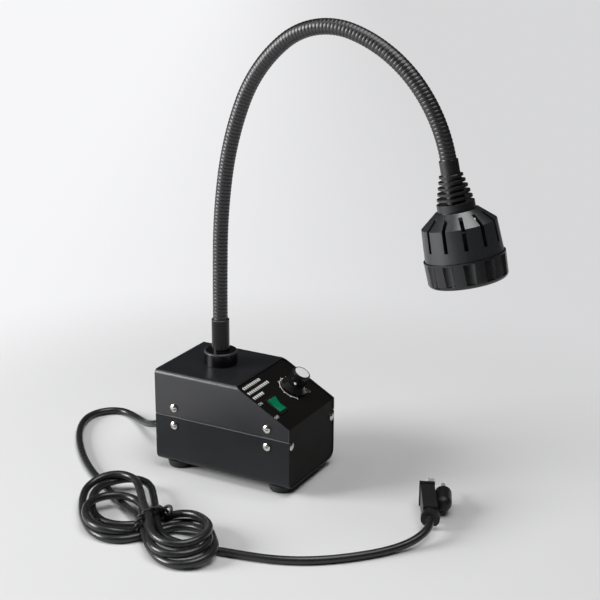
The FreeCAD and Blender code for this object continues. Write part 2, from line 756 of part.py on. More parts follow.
def neck_boot():
    """The ribbed rubber relief: a collar on the housing, fins over a core and a plain sleeve."""
    seat = S.shoulder_height
    rib_start = seat + S.boot_collar_height
    fins = int(S.boot_fins.value)
    pieces = [
        rod("boot_collar", S.boot_collar_radius, S.boot_collar_height, 0, 0, seat),
        rod("boot_core", S.boot_core_radius, S.boot_length - S.boot_sleeve_length, 0, 0, seat),
        rod("boot_sleeve", S.boot_sleeve_radius, S.boot_length, 0, 0, seat),
    ]
    for i in range(fins):
        share = i / max(fins - 1, 1)
        radius = S.fin_low_radius + (S.fin_high_radius - S.fin_low_radius) * share
        z = rib_start + (S.fin_pitch - S.fin_thickness) + S.fin_pitch * i
        pieces.append(rod("fin_%d" % i, radius, S.fin_thickness, 0, 0, z))
    bore = rod("boot_bore", S.hose_radius + S.slip_gap, S.boot_length, 0, 0, seat + S.boot_floor)
    hole = rod("boot_hole", S.stem_radius + S.slip_gap, S.boot_length, 0, 0, seat - 1)
    return in_head(cut("neck_boot", joined("boot_solid", *pieces), bore, hole))


def head_nipple():
    """The threaded stem that bolts the hose's end to the housing."""
    flange = S.shoulder_height + S.boot_floor
    low = crown_inside - S.bracket_steel - S.head_nut_height - 1
    return in_head(turned("head_nipple", [
        (S.stem_bore_radius, low), (S.stem_radius, low), (S.stem_radius, flange),
        (S.nipple_flange_radius, flange), (S.nipple_flange_radius, nipple_top),
        (S.stem_bore_radius, nipple_top),
    ]))


def lamp_housing():
    hole = S.stem_radius + S.hole_clearance
    shell = turned("housing_shell", [
        (hole, S.shoulder_height), (hole, crown_inside),
        (S.crown_radius - S.housing_wall * 0.6, crown_inside),
        (spigot_bore, -S.housing_wall * 0.6), (spigot_bore, spigot_end), (S.spigot_radius, spigot_end),
        (S.spigot_radius, housing_end), (S.housing_low_radius, housing_end), (S.shoulder_radius, 0),
        (S.crown_radius, S.shoulder_height),
    ])
    slots = []
    reach = S.shoulder_radius - S.vent_inner_radius + 4
    for i, turn in enumerate(around(S.vent_slots, S.vent_phase)):
        x = S.vent_inner_radius * cosine(turn) + S.vent_width / 2 * sine(turn)
        y = S.vent_inner_radius * sine(turn) - S.vent_width / 2 * cosine(turn)
        slot = block("vent_%d" % i, reach, S.vent_width, S.vent_length + S.shoulder_height)
        slots.append(place(slot, x, y, -S.vent_length, Z_AXIS, turn))
    return in_head(cut("lamp_housing", shell, *slots))


def bezel_ring():
    bore = S.spigot_radius + S.thread_gap
    pocket = S.glass_radius + S.thread_gap
    step = glass_high + S.thread_gap
    blank = turned("ring_blank", [
        (bore, ring_top), (bore, step), (pocket, step), (pocket, ring_end + S.ring_lip),
        (S.ring_mouth_radius, ring_end + S.ring_lip), (S.ring_mouth_radius, ring_end),
        (S.ring_low_radius - S.ring_corner, ring_end),
        (S.ring_low_radius, ring_end + S.ring_corner, S.ring_corner), (S.ring_top_radius, ring_top),
    ])
    grips = []
    reach = S.ring_low_radius + S.grip_radius - S.grip_depth
    low = ring_end + S.ring_corner - 0.5
    for i, turn in enumerate(around(S.ring_grips, S.grip_phase)):
        grips.append(rod("grip_%d" % i, S.grip_radius, ring_top - 1.6 - low, reach * cosine(turn),
                         reach * sine(turn), low))
    return in_head(cut("bezel_ring", blank, *grips))


def washer_ring(name, outer, inner, low, height):
    """A flat ring in the head's frame."""
    return in_head(cut(name, rod(name + "_disc", outer, height, 0, 0, low),
                       rod(name + "_hole", inner, height + 2, 0, 0, low - 1)))


def lamp_carrier():
    """The plate that holds the lamp's rim, with a heat shield round the lamp."""
    inner = S.shield_radius - S.carrier_thickness
    return in_head(turned("lamp_carrier", [
        (S.reflector_radius - 1.1, spigot_end), (spigot_bore - S.slip_gap, spigot_end),
        (spigot_bore - S.slip_gap, lamp_front), (S.shield_radius, lamp_front),
        (S.shield_radius, lamp_front + S.shield_length), (inner, lamp_front + S.shield_length),
        (inner, lamp_front), (S.reflector_radius - 1.1, lamp_front),
    ]))


def lamp_reflector():
    """The glass bowl of the lamp, with its flat rim in front and its neck behind."""
    rim, wall = S.reflector_radius, S.reflector_wall
    bowl_end = lamp_front + S.reflector_length - 3
    return in_head(turned("lamp_reflector", [
        (rim, lamp_front), (rim, lamp_front + S.reflector_rim),
        (rim - 1, lamp_front + S.reflector_rim), (S.reflector_neck_radius, bowl_end, S.reflector_length),
        (S.reflector_neck_radius, lamp_front + S.reflector_length),
        (S.reflector_neck_radius - wall, lamp_front + S.reflector_length),
        (S.reflector_neck_radius - wall, bowl_end), (rim - wall, lamp_front, -S.reflector_length),
    ]))


def lamp_capsule():
    start = lamp_front + S.reflector_length - S.capsule_length
    return in_head(joined("lamp_capsule",
                          rod("capsule_tube", S.capsule_radius, S.capsule_length, 0, 0, start),
                          ball("capsule_tip", S.capsule_radius, 0, 0, start)))


def pin_rods(name, radius, low, length):
    return [rod("%s_%d" % (name, j), radius, length, 0, S.pin_spacing / 2 * j, low) for j in (-1, 1)]


def lamp_holder():
    body = centred("holder_block", S.holder_length, S.holder_width, S.holder_height, 0, 0, lamp_back)
    holes = pin_rods("pin_hole", S.pin_radius + S.running_gap, lamp_back - 1, S.pin_length + 1.5)
    return in_head(cut("lamp_holder", body, *holes))


def holder_bracket():
    """A strap under the crown, bent down both ends of the lamp holder."""
    steel = S.bracket_steel
    under = crown_inside - steel
    width = S.holder_width
    plate = centred("bracket_plate", S.holder_length + steel * 2, width, steel, 0, 0, under)
    leg_low = lamp_back + S.holder_height / 3
    legs = [block("bracket_leg_%d" % i, steel, width, crown_inside - leg_low,
                  S.holder_length / 2 * i - (steel if i < 0 else size(0)), -width / 2, leg_low)
            for i in (-1, 1)]
    hole = rod("bracket_hole", S.stem_radius + S.hole_clearance, steel + 2, 0, 0, under - 1)
    return in_head(cut("holder_bracket", joined("bracket_strap", plate, *legs), hole))


def head_nut():
    low = crown_inside - S.bracket_steel - S.head_nut_height
    blank = hexagon("head_nut_blank", S.head_nut_flats, S.head_nut_height, 0, 0, low)
    hole = rod("head_nut_thread", S.stem_radius + S.slip_gap, S.head_nut_height + 2, 0, 0, low - 1)
    return in_head(cut("head_nut", blank, hole))


# ---------------------------------------------------------------- controls, in the panel's own frame
# The panel's own frame: z 0 at the sloping face, x down the slope, y across.
def knob_body():
    gap, high = S.knob_gap, S.knob_height
    roof = gap + S.knob_cavity_depth
    flare = roof + 0.5
    bore = S.shaft_radius + S.running_gap
    blank = turned("knob_blank", [
        (0, S.shaft_height + 0.3), (bore, S.shaft_height + 0.3), (bore, roof), (S.knob_cavity_radius, roof),
        (S.knob_cavity_radius, gap), (S.skirt_radius, gap), (S.skirt_radius, gap + S.skirt_rim),
        (S.knob_radius, flare), (S.knob_radius, high - 0.8), (S.knob_radius - 0.8, high),
        (S.cap_radius + S.slip_gap, high), (S.cap_radius + S.slip_gap, high - S.cap_thickness),
        (0, high - S.cap_thickness),
    ])
    grips = []
    reach = S.knob_radius + S.knob_grip_radius / 2
    for i, turn in enumerate(around(S.knob_grips)):
        grips.append(rod("knob_grip_%d" % i, S.knob_grip_radius, high - flare, reach * cosine(turn),
                         reach * sine(turn), flare + 1))
    screw_hole = rod("set_screw_hole", S.small_shank_radius + S.slip_gap, S.skirt_radius, 0, 0,
                     (roof + S.shaft_height) / 2, "y")
    return on_slope(cut("knob_body", blank, screw_hole, *grips), S.knob_along, S.knob_across)


def knob_set_screw():
    start = S.shaft_radius + S.running_gap
    z = (S.knob_gap + S.knob_cavity_depth + S.shaft_height) / 2
    screw = rod("set_screw_rod", S.small_shank_radius, S.knob_radius - start - 1.5, 0, start, z, "y")
    return on_slope(group("knob_set_screw", screw), S.knob_along, S.knob_across)


def pot_body():
    can_low = -(S.steel + S.pot_depth)
    can = rod("pot_can", S.pot_radius, S.pot_depth, 0, 0, can_low)
    bush = rod("pot_bush", S.bush_radius, S.bush_height + S.steel, 0, 0, -S.steel)
    bore = rod("pot_bore", S.shaft_radius + S.running_gap, S.bush_height + S.steel * 4, 0, 0, -S.steel * 3)
    return on_slope(cut("pot_body", joined("pot_solid", can, bush), bore), S.knob_along, S.knob_across)


def rocker_switch():
    """The rocker rests with its lower end pressed: the lamp is off."""
    reach, tip, base = S.rocker_reach, S.rocker_tip, S.rocker_base
    tip_x = root(reach * reach - tip * tip)
    base_x = root(reach * reach - base * base)
    lever = padded("rocker_lever", "XZ_Plane", [
        (-base_x, -base, reach), (base_x, -base), (tip_x, tip, reach), (0, S.rocker_waist), (-tip_x, tip),
    ], S.rocker_width)
    span = S.rocker_width + S.trunnion_reach * 2
    pins = rod("rocker_pins", S.trunnion_radius, span, 0, -span / 2, 0, "y")
    rocker = joined("rocker", lever, pins)
    on_slope(rocker, S.rocker_along, S.rocker_across)
    tilt = Size(S.rocker_tilt.value, S.rocker_tilt.formula + " * 1 deg")
    turn = slope_angle + tilt
    rocker.Placement.Rotation = FreeCAD.Rotation(Y_AXIS, turn.value)
    rocker.setExpression("Placement.Rotation.Angle", turn.formula)
    keep("rocker", rocker)
    bezel = centred("bezel", S.bezel_length, S.bezel_width, S.bezel_height)
    well = centred("switch_well", S.switch_length, S.switch_width, S.switch_depth, 0, 0, -S.switch_depth)
    mouth = centred("switch_mouth", (reach + S.rocker_gap) * 2, S.rocker_width + S.rocker_gap * 2, 10,
                    0, 0, -6)
    hole = rod("pin_holes", S.trunnion_radius + S.running_gap, span + 0.4, 0, -(span + 0.4) / 2, 0, "y")
    housing = cut("rocker_housing", joined("switch_solid", bezel, well), mouth, hole)
    keep("rocker_housing", on_slope(housing, S.rocker_along, S.rocker_across))
    blades = [centred("terminal_%d" % i, S.terminal_thickness, S.terminal_width, S.terminal_length,
                      S.switch_length / 3 * i, 0, -S.switch_depth - S.terminal_length) for i in (-1, 0, 1)]
    keep("rocker_terminals", on_slope(group("rocker_terminals", *blades), S.rocker_along, S.rocker_across))


# ---------------------------------------------------------------- inside the case
floor_z = bottom + S.steel
core_mid = floor_z + S.core_height / 2
window_height = S.core_height - S.core_leg


def transformer():
    """A laminated core with two windows, the coil round its middle leg, and its strap."""
    leg, depth, long_side, high = S.core_leg, S.core_depth, S.core_length, S.core_height
    window = (long_side - leg * 2) / 2
    stack = centred("core_stack", long_side, depth, high, 0, 0, 0)
    openings = [centred("core_window_%d" % i, window, depth + 2, window_height, (leg + window) / 2 * i,
                        0, leg / 2)
                for i in (-1, 1)]
    keep("transformer_core", place(cut("transformer_core", stack, *openings), transformer_x, 0, floor_z))
    gap = S.bobbin_gap
    coil_height = window_height - gap * 2
    winding = centred("winding", leg + (window - gap) * 2, depth + S.coil_overhang * 2, coil_height, 0, 0,
                      leg / 2 + gap)
    middle = centred("winding_hole", leg, depth, high, 0, 0, 0)
    keep("transformer_coil", place(cut("transformer_coil", winding, middle), transformer_x, 0, floor_z))
    steel = S.frame_steel
    pieces = [centred("frame_top", long_side + steel * 2, depth, steel, 0, 0, high)]
    holes = []
    for i in (-1, 1):
        x = long_side / 2 * i - (steel if i < 0 else size(0))
        pieces.append(block("frame_side_%d" % i, steel, depth, high + steel, x, -depth / 2, 0))
        foot_x = long_side / 2 * i - (steel + S.frame_foot if i < 0 else size(0))
        pieces.append(block("frame_foot_%d" % i, S.frame_foot + steel, depth, steel, foot_x, -depth / 2, 0))
        holes.append(rod("strap_hole_%d" % i, shank_hole, 6, frame_bolt_x * i, 0, -2))
    frame = cut("transformer_frame", joined("frame_strap", *pieces), *holes)
    keep("transformer_frame", place(frame, transformer_x, 0, floor_z))
    screw = screw_body("frame_screw", S.screw_length)
    nut = pierced_nut("frame_nut", S.nut_flats, S.nut_height, S.screw_shank_radius + S.slip_gap)
    bolts = []
    for i in (-1, 1):
        x = transformer_x + frame_bolt_x * i
        bolts.append(copy_of("frame_screw_%d" % i, screw, x, 0, bottom, X_AXIS, 180))
        bolts.append(copy_of("frame_nut_%d" % i, nut, x, 0, floor_z + steel))
    keep("transformer_bolts", group("transformer_bolts", *bolts))


def dimmer():
    """The board behind the knob, held by a post, with the parts that stand on its back."""
    face = -(S.steel + S.pot_depth)
    back = face - S.board_thickness
    here = (S.knob_along, S.knob_across)
    board = slope_block("board_sheet", S.board_length, S.board_width, S.board_thickness, *here, back)
    screw_hole = on_slope(rod("board_hole", S.small_shank_radius + S.slip_gap, 8),
                          S.board_screw_along, S.board_screw_across, back - 3)
    keep("dimmer_board", cut("dimmer_board", board, screw_hole))
    post = cut("board_post", rod("post_rod", S.post_radius, S.pot_depth, 0, 0, face),
               rod("post_hole", S.small_shank_radius + S.slip_gap, S.pot_depth + 2, 0, 0, face - 1))
    keep("board_post", on_slope(post, S.board_screw_along, S.board_screw_across))
    length = S.steel + S.pot_depth + S.board_thickness + 2
    rim = S.small_head_height / 2
    screw = turned("board_screw", [
        (0, -length), (S.small_shank_radius, -length), (S.small_shank_radius, 0), (S.small_head_radius, 0),
        (S.small_head_radius, rim), (S.small_head_radius - rim, S.small_head_height),
        (0, S.small_head_height),
    ])
    keep("board_screw", on_slope(screw, S.board_screw_along, S.board_screw_across))
    side = S.knob_across - S.parts_beside_knob
    keep("triac", slope_block("triac", S.triac_length, S.triac_thickness, S.triac_height,
                              S.knob_along - S.triac_above_knob, side, back - S.triac_height))
    keep("capacitor", on_slope(rod("capacitor", S.capacitor_radius, S.capacitor_height),
                               S.knob_along + S.capacitor_below_knob, side, back - S.capacitor_height))


def terminal_block():
    x = S.block_from_rear - half_length
    y = half_width - S.block_from_side
    body = centred("terminal_body", S.block_length, S.block_width, S.block_height, x, y, floor_z)
    holes = [rod("wire_hole_%d" % i, S.wire_hole_radius, S.block_length + 2, x - S.block_length / 2 - 1,
                 y + S.block_width / 3 * i, floor_z + S.block_height / 2, "x") for i in (-1, 0, 1)]
    return cut("terminal_block", body, *holes)


# ---------------------------------------------------------------- mains cord and plug
gland_mouth = -half_length + S.panel_inset - S.gland_length
plug_place = Vector(S.plug_x.value, S.plug_y.value, 0)
LEAD_ROUTE = [
    (-106, 0, 24), (-121, 6.5, 17), (-138, 20, 10), (-155, 33, 6), (-174.5, 45, 3.9), (-187.6, 46, 3.9),
    (-200.2, 40.4, 3.9), (-208.2, 29.5, 3.9), (-210.7, 16.5, 3.9), (-206.9, 3.7, 3.9), (-196, -17, 3.9),
    (-181, -38, 3.9), (-163, -58.5, 3.9), (-143, -78, 3.9), (-122, -95, 3.9), (-102, -110, 3.9),
    (-88, -123, 3.9),
]
TAIL_ROUTE = [
    (60, -171, 3.9), (82, -172.2, 3.9), (106, -170.3, 3.9), (129, -164.3, 3.9), (151.5, -154.2, 3.9),
    (171.5, -140, 3.9), (188.5, -124.5, 3.9), (203.4, -108.1, 3.9), (215.8, -91.5, 4.8), (224.6, -77.6, 7.4),
    (229.4, -63.2, 11),
]


def tube(points, radius):
    """A cord along straight runs joined by tangent arcs, each as large as its runs allow."""
    corners = [Vector(*point) for point in points]
    edges = []
    radii = []
    start = corners[0]
    for before, corner, after in zip(corners, corners[1:], corners[2:]):
        back, ahead = (before - corner), (after - corner)
        half_turn = (math.pi - back.getAngle(ahead)) / 2
        reach = 0.45 * min(back.Length, ahead.Length)
        radii.append(reach / math.tan(half_turn))
        enter = corner + back.normalize() * reach
        leave = corner + ahead.normalize() * reach
        bisector = (back + ahead).normalize()
        middle = corner + bisector * (radii[-1] / math.cos(half_turn) - radii[-1])
        edges.append(Part.makeLine(start, enter))
        edges.append(Part.Arc(enter, middle, leave).toShape())
        start = leave
    edges.append(Part.makeLine(start, corners[-1]))
    path = Part.Wire(edges)
    section = Part.Wire(Part.Circle(corners[0], corners[1] - corners[0], radius).toShape())
    solid = path.makePipeShell([section], True, False)
    expected = math.pi * radius ** 2 * path.Length
    print("cord %.0f mm, volume %.4f of section times length, radii" % (path.Length, solid.Volume / expected),
          [round(value) for value in radii])
    return solid


def on_plug(thing, x=0, y=0, z=0):
    """Puts a piece in the plug's frame: x from the cord to the blades, z 0 on the bench."""
    turn = FreeCAD.Rotation(Z_AXIS, S.plug_heading.value)
    thing.Placement = FreeCAD.Placement(plug_place + turn.multVec(Vector(x, y, z)), turn)
    return thing


def taper(name, start, length, near, far):
    """A solid that runs along x between two rectangles: low and high y, low and high z."""
    wedge = doc.addObject("Part::Wedge", name)
    bind(wedge, "Ymin", 0)
    bind(wedge, "Ymax", length)
    for end, (right, left, low, high) in (("", near), ("2", far)):
        bind(wedge, "X%smin" % end, -size(left))
        bind(wedge, "X%smax" % end, -size(right))
        bind(wedge, "Z%smin" % end, low)
        bind(wedge, "Z%smax" % end, high)
    return place(wedge, start, 0, 0, Z_AXIS, -90)


def plug():
    """The moulded plug: an oval collar, a short neck and a body that widens to its face."""
    mid = S.plug_height / 2
    rear = S.plug_collar_length / 2
    disc = rod("plug_disc", S.plug_collar_radius, S.plug_collar_length, -rear, 0, mid, "x")
    flats = centred("plug_flats", S.plug_collar_length, S.plug_collar_radius * 2, S.plug_collar_height, 0, 0,
                    mid - S.plug_collar_height / 2)
    neck = rod("plug_neck", S.plug_neck_radius, S.plug_neck_length + 1, rear - 0.5, 0, mid, "x")
    start = rear + S.plug_neck_length
    front = start + S.plug_length
    left, right = S.plug_left, S.plug_left - S.plug_thickness
    step = S.plug_face_step
    body = taper("plug_taper", start, S.plug_length,
                 (-S.plug_heel_width / 2, S.plug_heel_width / 2, mid - S.plug_heel_height / 2,
                  mid + S.plug_heel_height / 2),
                 (right + step, left - step, step, S.plug_height - step))
    face = block("plug_face", S.plug_face_length, S.plug_thickness, S.plug_height, front - S.plug_face_length,
                 right, 0)
    lobe_start = front - S.ground_lobe_length
    pin_y = -S.ground_pin_across
    lobe = rod("plug_lobe", S.ground_lobe_radius, S.ground_lobe_length, lobe_start, pin_y, mid, "x")
    heel = ball("plug_lobe_heel", S.ground_lobe_radius, lobe_start, pin_y, mid)
    collar = shared("plug_collar", disc, flats)
    keep("plug_body", on_plug(joined("plug_body", collar, neck, body, face, lobe, heel)))
    straight = S.ground_pin_length - S.ground_pin_radius
    pin = joined("ground_pin", rod("ground_rod", S.ground_pin_radius, straight, front, pin_y, mid, "x"),
                 ball("ground_tip", S.ground_pin_radius, front + straight, pin_y, mid))
    keep("plug_ground_pin", on_plug(pin))
    blade_y = S.blade_from_ground - S.ground_pin_across
    blades = [block("blade_%d" % i, S.blade_length, S.blade_width, S.blade_thickness, front,
                    blade_y - S.blade_width / 2, mid + S.blade_spacing / 2 * i - S.blade_thickness / 2)
              for i in (-1, 1)]
    keep("plug_blades", on_plug(group("plug_blades", *blades)))


def hank_lobe(x, y, along, across, heading):
    """The space that one lobe of the tied figure of eight fills."""
    ellipse = Part.Ellipse(Vector(0, 0, 0), along.value, across.value).toShape()
    lobe = Part.Face(Part.Wire(ellipse)).extrude(Vector(0, 0, S.hank_height.value))
    lobe.Placement = FreeCAD.Placement(Vector(x.value, y.value, 0), FreeCAD.Rotation(Z_AXIS, heading.value))
    return lobe


def cord():
    exit_point = (gland_mouth.value, 0, S.gland_height.value)
    keep("cord_lead", solid_feature("cord_lead", tube([exit_point] + LEAD_ROUTE, S.cord_radius.value)))
    heading = Vector(cosine(S.plug_heading.value), sine(S.plug_heading.value), 0)
    middle = plug_place + Vector(0, 0, S.plug_height.value / 2)
    end = middle - heading * (S.plug_collar_length.value / 2)
    before = end - heading * 10
    route = TAIL_ROUTE + [tuple(before), tuple(end)]
    keep("cord_tail", solid_feature("cord_tail", tube(route, S.cord_radius.value)))
    rear = hank_lobe(S.rear_lobe_x, S.rear_lobe_y, S.rear_lobe_long, S.rear_lobe_short, S.rear_lobe_heading)
    front = hank_lobe(S.front_lobe_x, S.front_lobe_y, S.front_lobe_long, S.front_lobe_short,
                      S.front_lobe_heading)
    keep("cord_hank", solid_feature("cord_hank", rear.fuse(front).removeSplitter()))
    tie = centred("tie_strap", S.tie_length, S.tie_width, S.tie_thickness)
    keep("cord_tie", place(group("cord_tie", tie), S.tie_x, S.tie_y, S.hank_height, Z_AXIS, S.tie_heading))


def cord_gland():
    stem, flange, thick = S.gland_stem_radius, S.gland_flange_radius, S.gland_flange_thickness
    body = turned("cord_gland", [
        (0, -S.gland_stem_length), (stem, -S.gland_stem_length), (stem, 0), (flange, 0), (flange, thick),
        (S.gland_radius, thick + 1), (S.cord_radius + S.gland_wall, S.gland_length), (0, S.gland_length),
    ])
    keep("cord_gland", place(body, -half_length + S.panel_inset, 0, S.gland_height, Y_AXIS, -90))
    nut = pierced_nut("gland_nut", S.gland_nut_flats, S.gland_nut_height,
                      S.gland_stem_radius + S.slip_gap)
    keep("gland_nut", place(nut, -half_length + S.panel_inset + S.steel, 0, S.gland_height, Y_AXIS, 90))


# ---------------------------------------------------------------- the whole lamp
def build():
    for make in (top_cover, bottom_cover, control_panel, rear_panel, joint_straps):
        piece = make()
        keep(piece.Name, piece)
    case_screws()
    feet()
    keep("neck_collar", neck_collar())
    keep("neck_ferrule", neck_ferrule())
    nut = pierced_nut("neck_nut", S.neck_nut_flats, S.neck_nut_height, S.stem_radius + S.slip_gap)
    keep("neck_nut", place(nut, neck_x, 0, top - S.steel - S.neck_nut_height))
    neck_spans()
    for make in (neck_boot, head_nipple, lamp_housing, bezel_ring, lamp_carrier, lamp_reflector, lamp_capsule,
                 lamp_holder, holder_bracket, head_nut):
        piece = make()
        keep(piece.Name, piece)
    glass = rod("glass_plate", S.glass_radius, S.glass_thickness, 0, 0, glass_low)
    keep("front_glass", in_head(group("glass_disc", glass)))
    gasket_outer = S.glass_radius - 0.2
    keep("glass_gasket", washer_ring("glass_gasket", gasket_outer, gasket_outer - S.gasket_width, glass_high,
                                     spigot_end - S.thread_gap - glass_high))
    base_height = S.lamp_length - S.reflector_length
    base = centred("base_block", S.lamp_base_length, S.lamp_base_width, base_height, 0, 0,
                   lamp_back - base_height)
    keep("lamp_base", in_head(group("lamp_base", base)))
    pins = pin_rods("lamp_pin", S.pin_radius, lamp_back, S.pin_length)
    keep("lamp_pins", in_head(group("lamp_pins", *pins)))
    keep("knob_body", knob_body())
    keep("knob_cap", on_slope(rod("knob_cap", S.cap_radius, S.cap_thickness), S.knob_along, S.knob_across,
                              S.knob_height - S.cap_thickness))
    keep("knob_set_screw", knob_set_screw())
    keep("pot_body", pot_body())
    keep("pot_shaft", on_slope(rod("pot_shaft", S.shaft_radius, S.shaft_height + S.steel * 2), S.knob_along,
                               S.knob_across, -S.steel * 2))
    nut = pierced_nut("pot_nut", S.pot_nut_flats, S.pot_nut_height, S.bush_radius + S.slip_gap)
    keep("pot_nut", on_slope(nut, S.knob_along, S.knob_across))
    rocker_switch()
    transformer()
    dimmer()
    keep("terminal_block", terminal_block())
    cord_gland()
    cord()
    plug()
    doc.recompute()


def check_and_export():
    for thing in doc.Objects:
        if any(state in ("Invalid", "Error") for state in thing.State):
            raise RuntimeError("%s did not compute" % thing.Name)
    os.makedirs("parts", exist_ok=True)
    for piece in NODES:
        shape = piece.Shape
        if shape.isNull() or not shape.isValid() or not shape.Solids:
            raise RuntimeError("%s is not a sound solid" % piece.Label)
        shape.exportStep("parts/%s.step" % piece.Label)
    print("%d pieces" % len(NODES))


build()
check_and_export()
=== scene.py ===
# %% [markdown]
# # A gooseneck lamp on a transformer case
#
# The lamp's solids come ready-made from its CAD model. They carry the joints and the
# sizes. This notebook gives each of them its looks: paint, rubber, bright screws, the
# wound hose and the cord that lies on the bench. Everything is in metres, in the CAD
# model's own frame, so a piece goes where the CAD says.

# %% Load the frame
import json
import math

import bmesh
import bpy
import numpy as np
from mathutils import Matrix, Vector

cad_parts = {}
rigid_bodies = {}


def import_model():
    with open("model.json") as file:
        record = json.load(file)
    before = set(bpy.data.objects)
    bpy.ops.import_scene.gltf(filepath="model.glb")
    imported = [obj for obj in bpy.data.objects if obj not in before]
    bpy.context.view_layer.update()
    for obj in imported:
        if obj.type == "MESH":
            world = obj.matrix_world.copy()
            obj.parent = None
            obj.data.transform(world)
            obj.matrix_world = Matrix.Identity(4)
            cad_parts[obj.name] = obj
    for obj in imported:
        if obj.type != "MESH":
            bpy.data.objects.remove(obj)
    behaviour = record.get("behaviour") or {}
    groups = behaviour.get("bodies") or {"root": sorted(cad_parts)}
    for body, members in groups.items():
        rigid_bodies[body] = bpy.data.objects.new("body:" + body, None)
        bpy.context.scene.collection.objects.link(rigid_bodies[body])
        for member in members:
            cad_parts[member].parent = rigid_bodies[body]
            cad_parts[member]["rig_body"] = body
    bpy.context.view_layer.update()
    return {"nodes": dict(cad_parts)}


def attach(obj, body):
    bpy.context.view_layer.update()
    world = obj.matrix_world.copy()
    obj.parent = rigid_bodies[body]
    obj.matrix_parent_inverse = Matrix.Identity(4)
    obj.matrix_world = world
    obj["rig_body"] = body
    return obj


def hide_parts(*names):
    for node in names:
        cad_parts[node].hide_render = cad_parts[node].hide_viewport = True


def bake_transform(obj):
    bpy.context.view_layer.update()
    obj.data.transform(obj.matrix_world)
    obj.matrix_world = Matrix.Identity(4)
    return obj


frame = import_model()
nodes = frame["nodes"]
MM = 0.001


def put(name, data):
    """Puts a new object with this data into the scene."""
    piece = bpy.data.objects.new(name, data)
    bpy.context.collection.objects.link(piece)
    return piece


def final_mesh(piece):
    """A plain mesh of what a piece looks like with its modifiers and bevel done."""
    bpy.context.view_layer.update()
    return bpy.data.meshes.new_from_object(piece.evaluated_get(bpy.context.evaluated_depsgraph_get()))


# %% [markdown]
# ## The camera
#
# A camera can be aimed with a constraint or set by angles. Angles are used here, because
# the view is a known one: round the lamp by an azimuth, above it by an elevation, and a
# trace of roll. A long lens keeps the perspective as flat as in a catalogue picture.

# %% Camera
CAMERA_PLACE = (674.4, -1131.0, 617.6)
CAMERA_AZIMUTH = math.radians(28.41)
CAMERA_ELEVATION = math.radians(18.43)
CAMERA_ROLL = math.radians(0.34)
FOCAL_LENGTH = 84
SENSOR_WIDTH = 36


def make_camera():
    camera = put("camera", bpy.data.cameras.new("camera"))
    turn = (Matrix.Rotation(CAMERA_AZIMUTH, 4, "Z")
            @ Matrix.Rotation(math.pi / 2 - CAMERA_ELEVATION, 4, "X")
            @ Matrix.Rotation(CAMERA_ROLL, 4, "Z"))
    camera.matrix_world = Matrix.Translation(Vector(CAMERA_PLACE) * MM) @ turn
    camera.data.lens = FOCAL_LENGTH
    camera.data.sensor_width = SENSOR_WIDTH
    camera.data.clip_start = 0.01
    camera.data.clip_end = 100
    bpy.context.scene.camera = camera
    return camera


camera = make_camera()
print("camera", [round(value, 3) for value in camera.location])

# %% [markdown]
# ## The mains cord
#
# A cord is one length of flexible lead: it leaves the gland, droops to the bench, runs into a tied hank and
# goes on to the plug. It could be a swept mesh, but a NURBS curve with a round bevel keeps it one smooth line
# and lets its length be measured. The points of its two loose stretches are given in millimetres.

# %% The two loose stretches
CORD_WIDTH = 7.6
CORD_DIAMETER = CORD_WIDTH * MM
FLOOR = 3.9
LEAD_ROUTE = [
    (-90.2, 0, 24), (-106, 0, 24), (-121, 6.5, 17), (-138, 20, 10), (-155, 33, 6), (-171.5, 42.6, FLOOR),
    (-185, 46.6, FLOOR), (-198.8, 42.6, FLOOR), (-208, 31.6, FLOOR), (-211, 17.5, FLOOR), (-208, 2.5, FLOOR),
    (-198, -18, FLOOR), (-183, -39, FLOOR), (-165, -59.5, FLOOR), (-145, -79, FLOOR), (-124, -96, FLOOR),
    (-103, -110.5, FLOOR), (-82, -124, FLOOR),
]
TAIL_ROUTE = [
    (60, -180, FLOOR), (82, -174, FLOOR), (106, -170.3, FLOOR), (129, -164.3, FLOOR), (151.5, -154.2, FLOOR),
    (171.5, -140, FLOOR), (188.5, -124.5, FLOOR), (203.4, -108.1, FLOOR), (215.8, -91.5, 4.8),
    (224.6, -77.6, 7.4), (229.4, -63.2, 11), (228.1, -50.5, 12.5), (224.2, -41.3, 12.5),
]
print("route points:", len(LEAD_ROUTE), "lead,", len(TAIL_ROUTE), "tail")

# %% [markdown]
# ## The hank's turns
#
# The hank is three loose turns of a figure of eight. No two are the same size. A hand can choose where each
# turn passes, but can't judge how a stiff lead lies there. So only the places are listed, and loops work out
# the turns from them. One loop stiffens the cord round every bend that is too tight, a little more each
# round. Another moves the two strands of a crossing apart in height. The settled line then gets its points.

# %% Where the turns pass
# ENTRY is in millimetres. In the other lists a place is across and down in the camera's
# view, which counts as 600 wide, and its height over the bench in millimetres.
VIEW_SIZE = 600
ENTRY = [(-60, -138, FLOOR), (-38, -151, 4.5), (-20, -163, 8)]
FRONT_LOBES = [
    [(147, 541, 8), (155.2, 555, 5), (167, 563.5, 4), (181, 566.5, 4), (194, 565, 5), (206.3, 557.6, 10),
     (214, 546.6, 12), (213.5, 535.7, 10), (207, 527, 6), (190, 521.5, 5), (172, 523.5, 4)],
    [(150, 528, 13), (152, 542, 11), (159.5, 553.5, 10.5), (172, 560.5, 10.5), (187, 560.5, 11),
     (200, 555, 12.5), (208, 544.5, 13), (206, 533, 12), (194, 527, 9), (174, 527.5, 5)],
    [(153, 524.4, 19), (156.5, 537, 18), (164.6, 547.2, 18), (176, 552.5, 18), (189, 550.5, 18),
     (201, 543, 18), (208, 532, 18), (205, 521, 18), (194, 513.5, 17), (181, 511.5, 16), (168, 513.5, 13)],
]
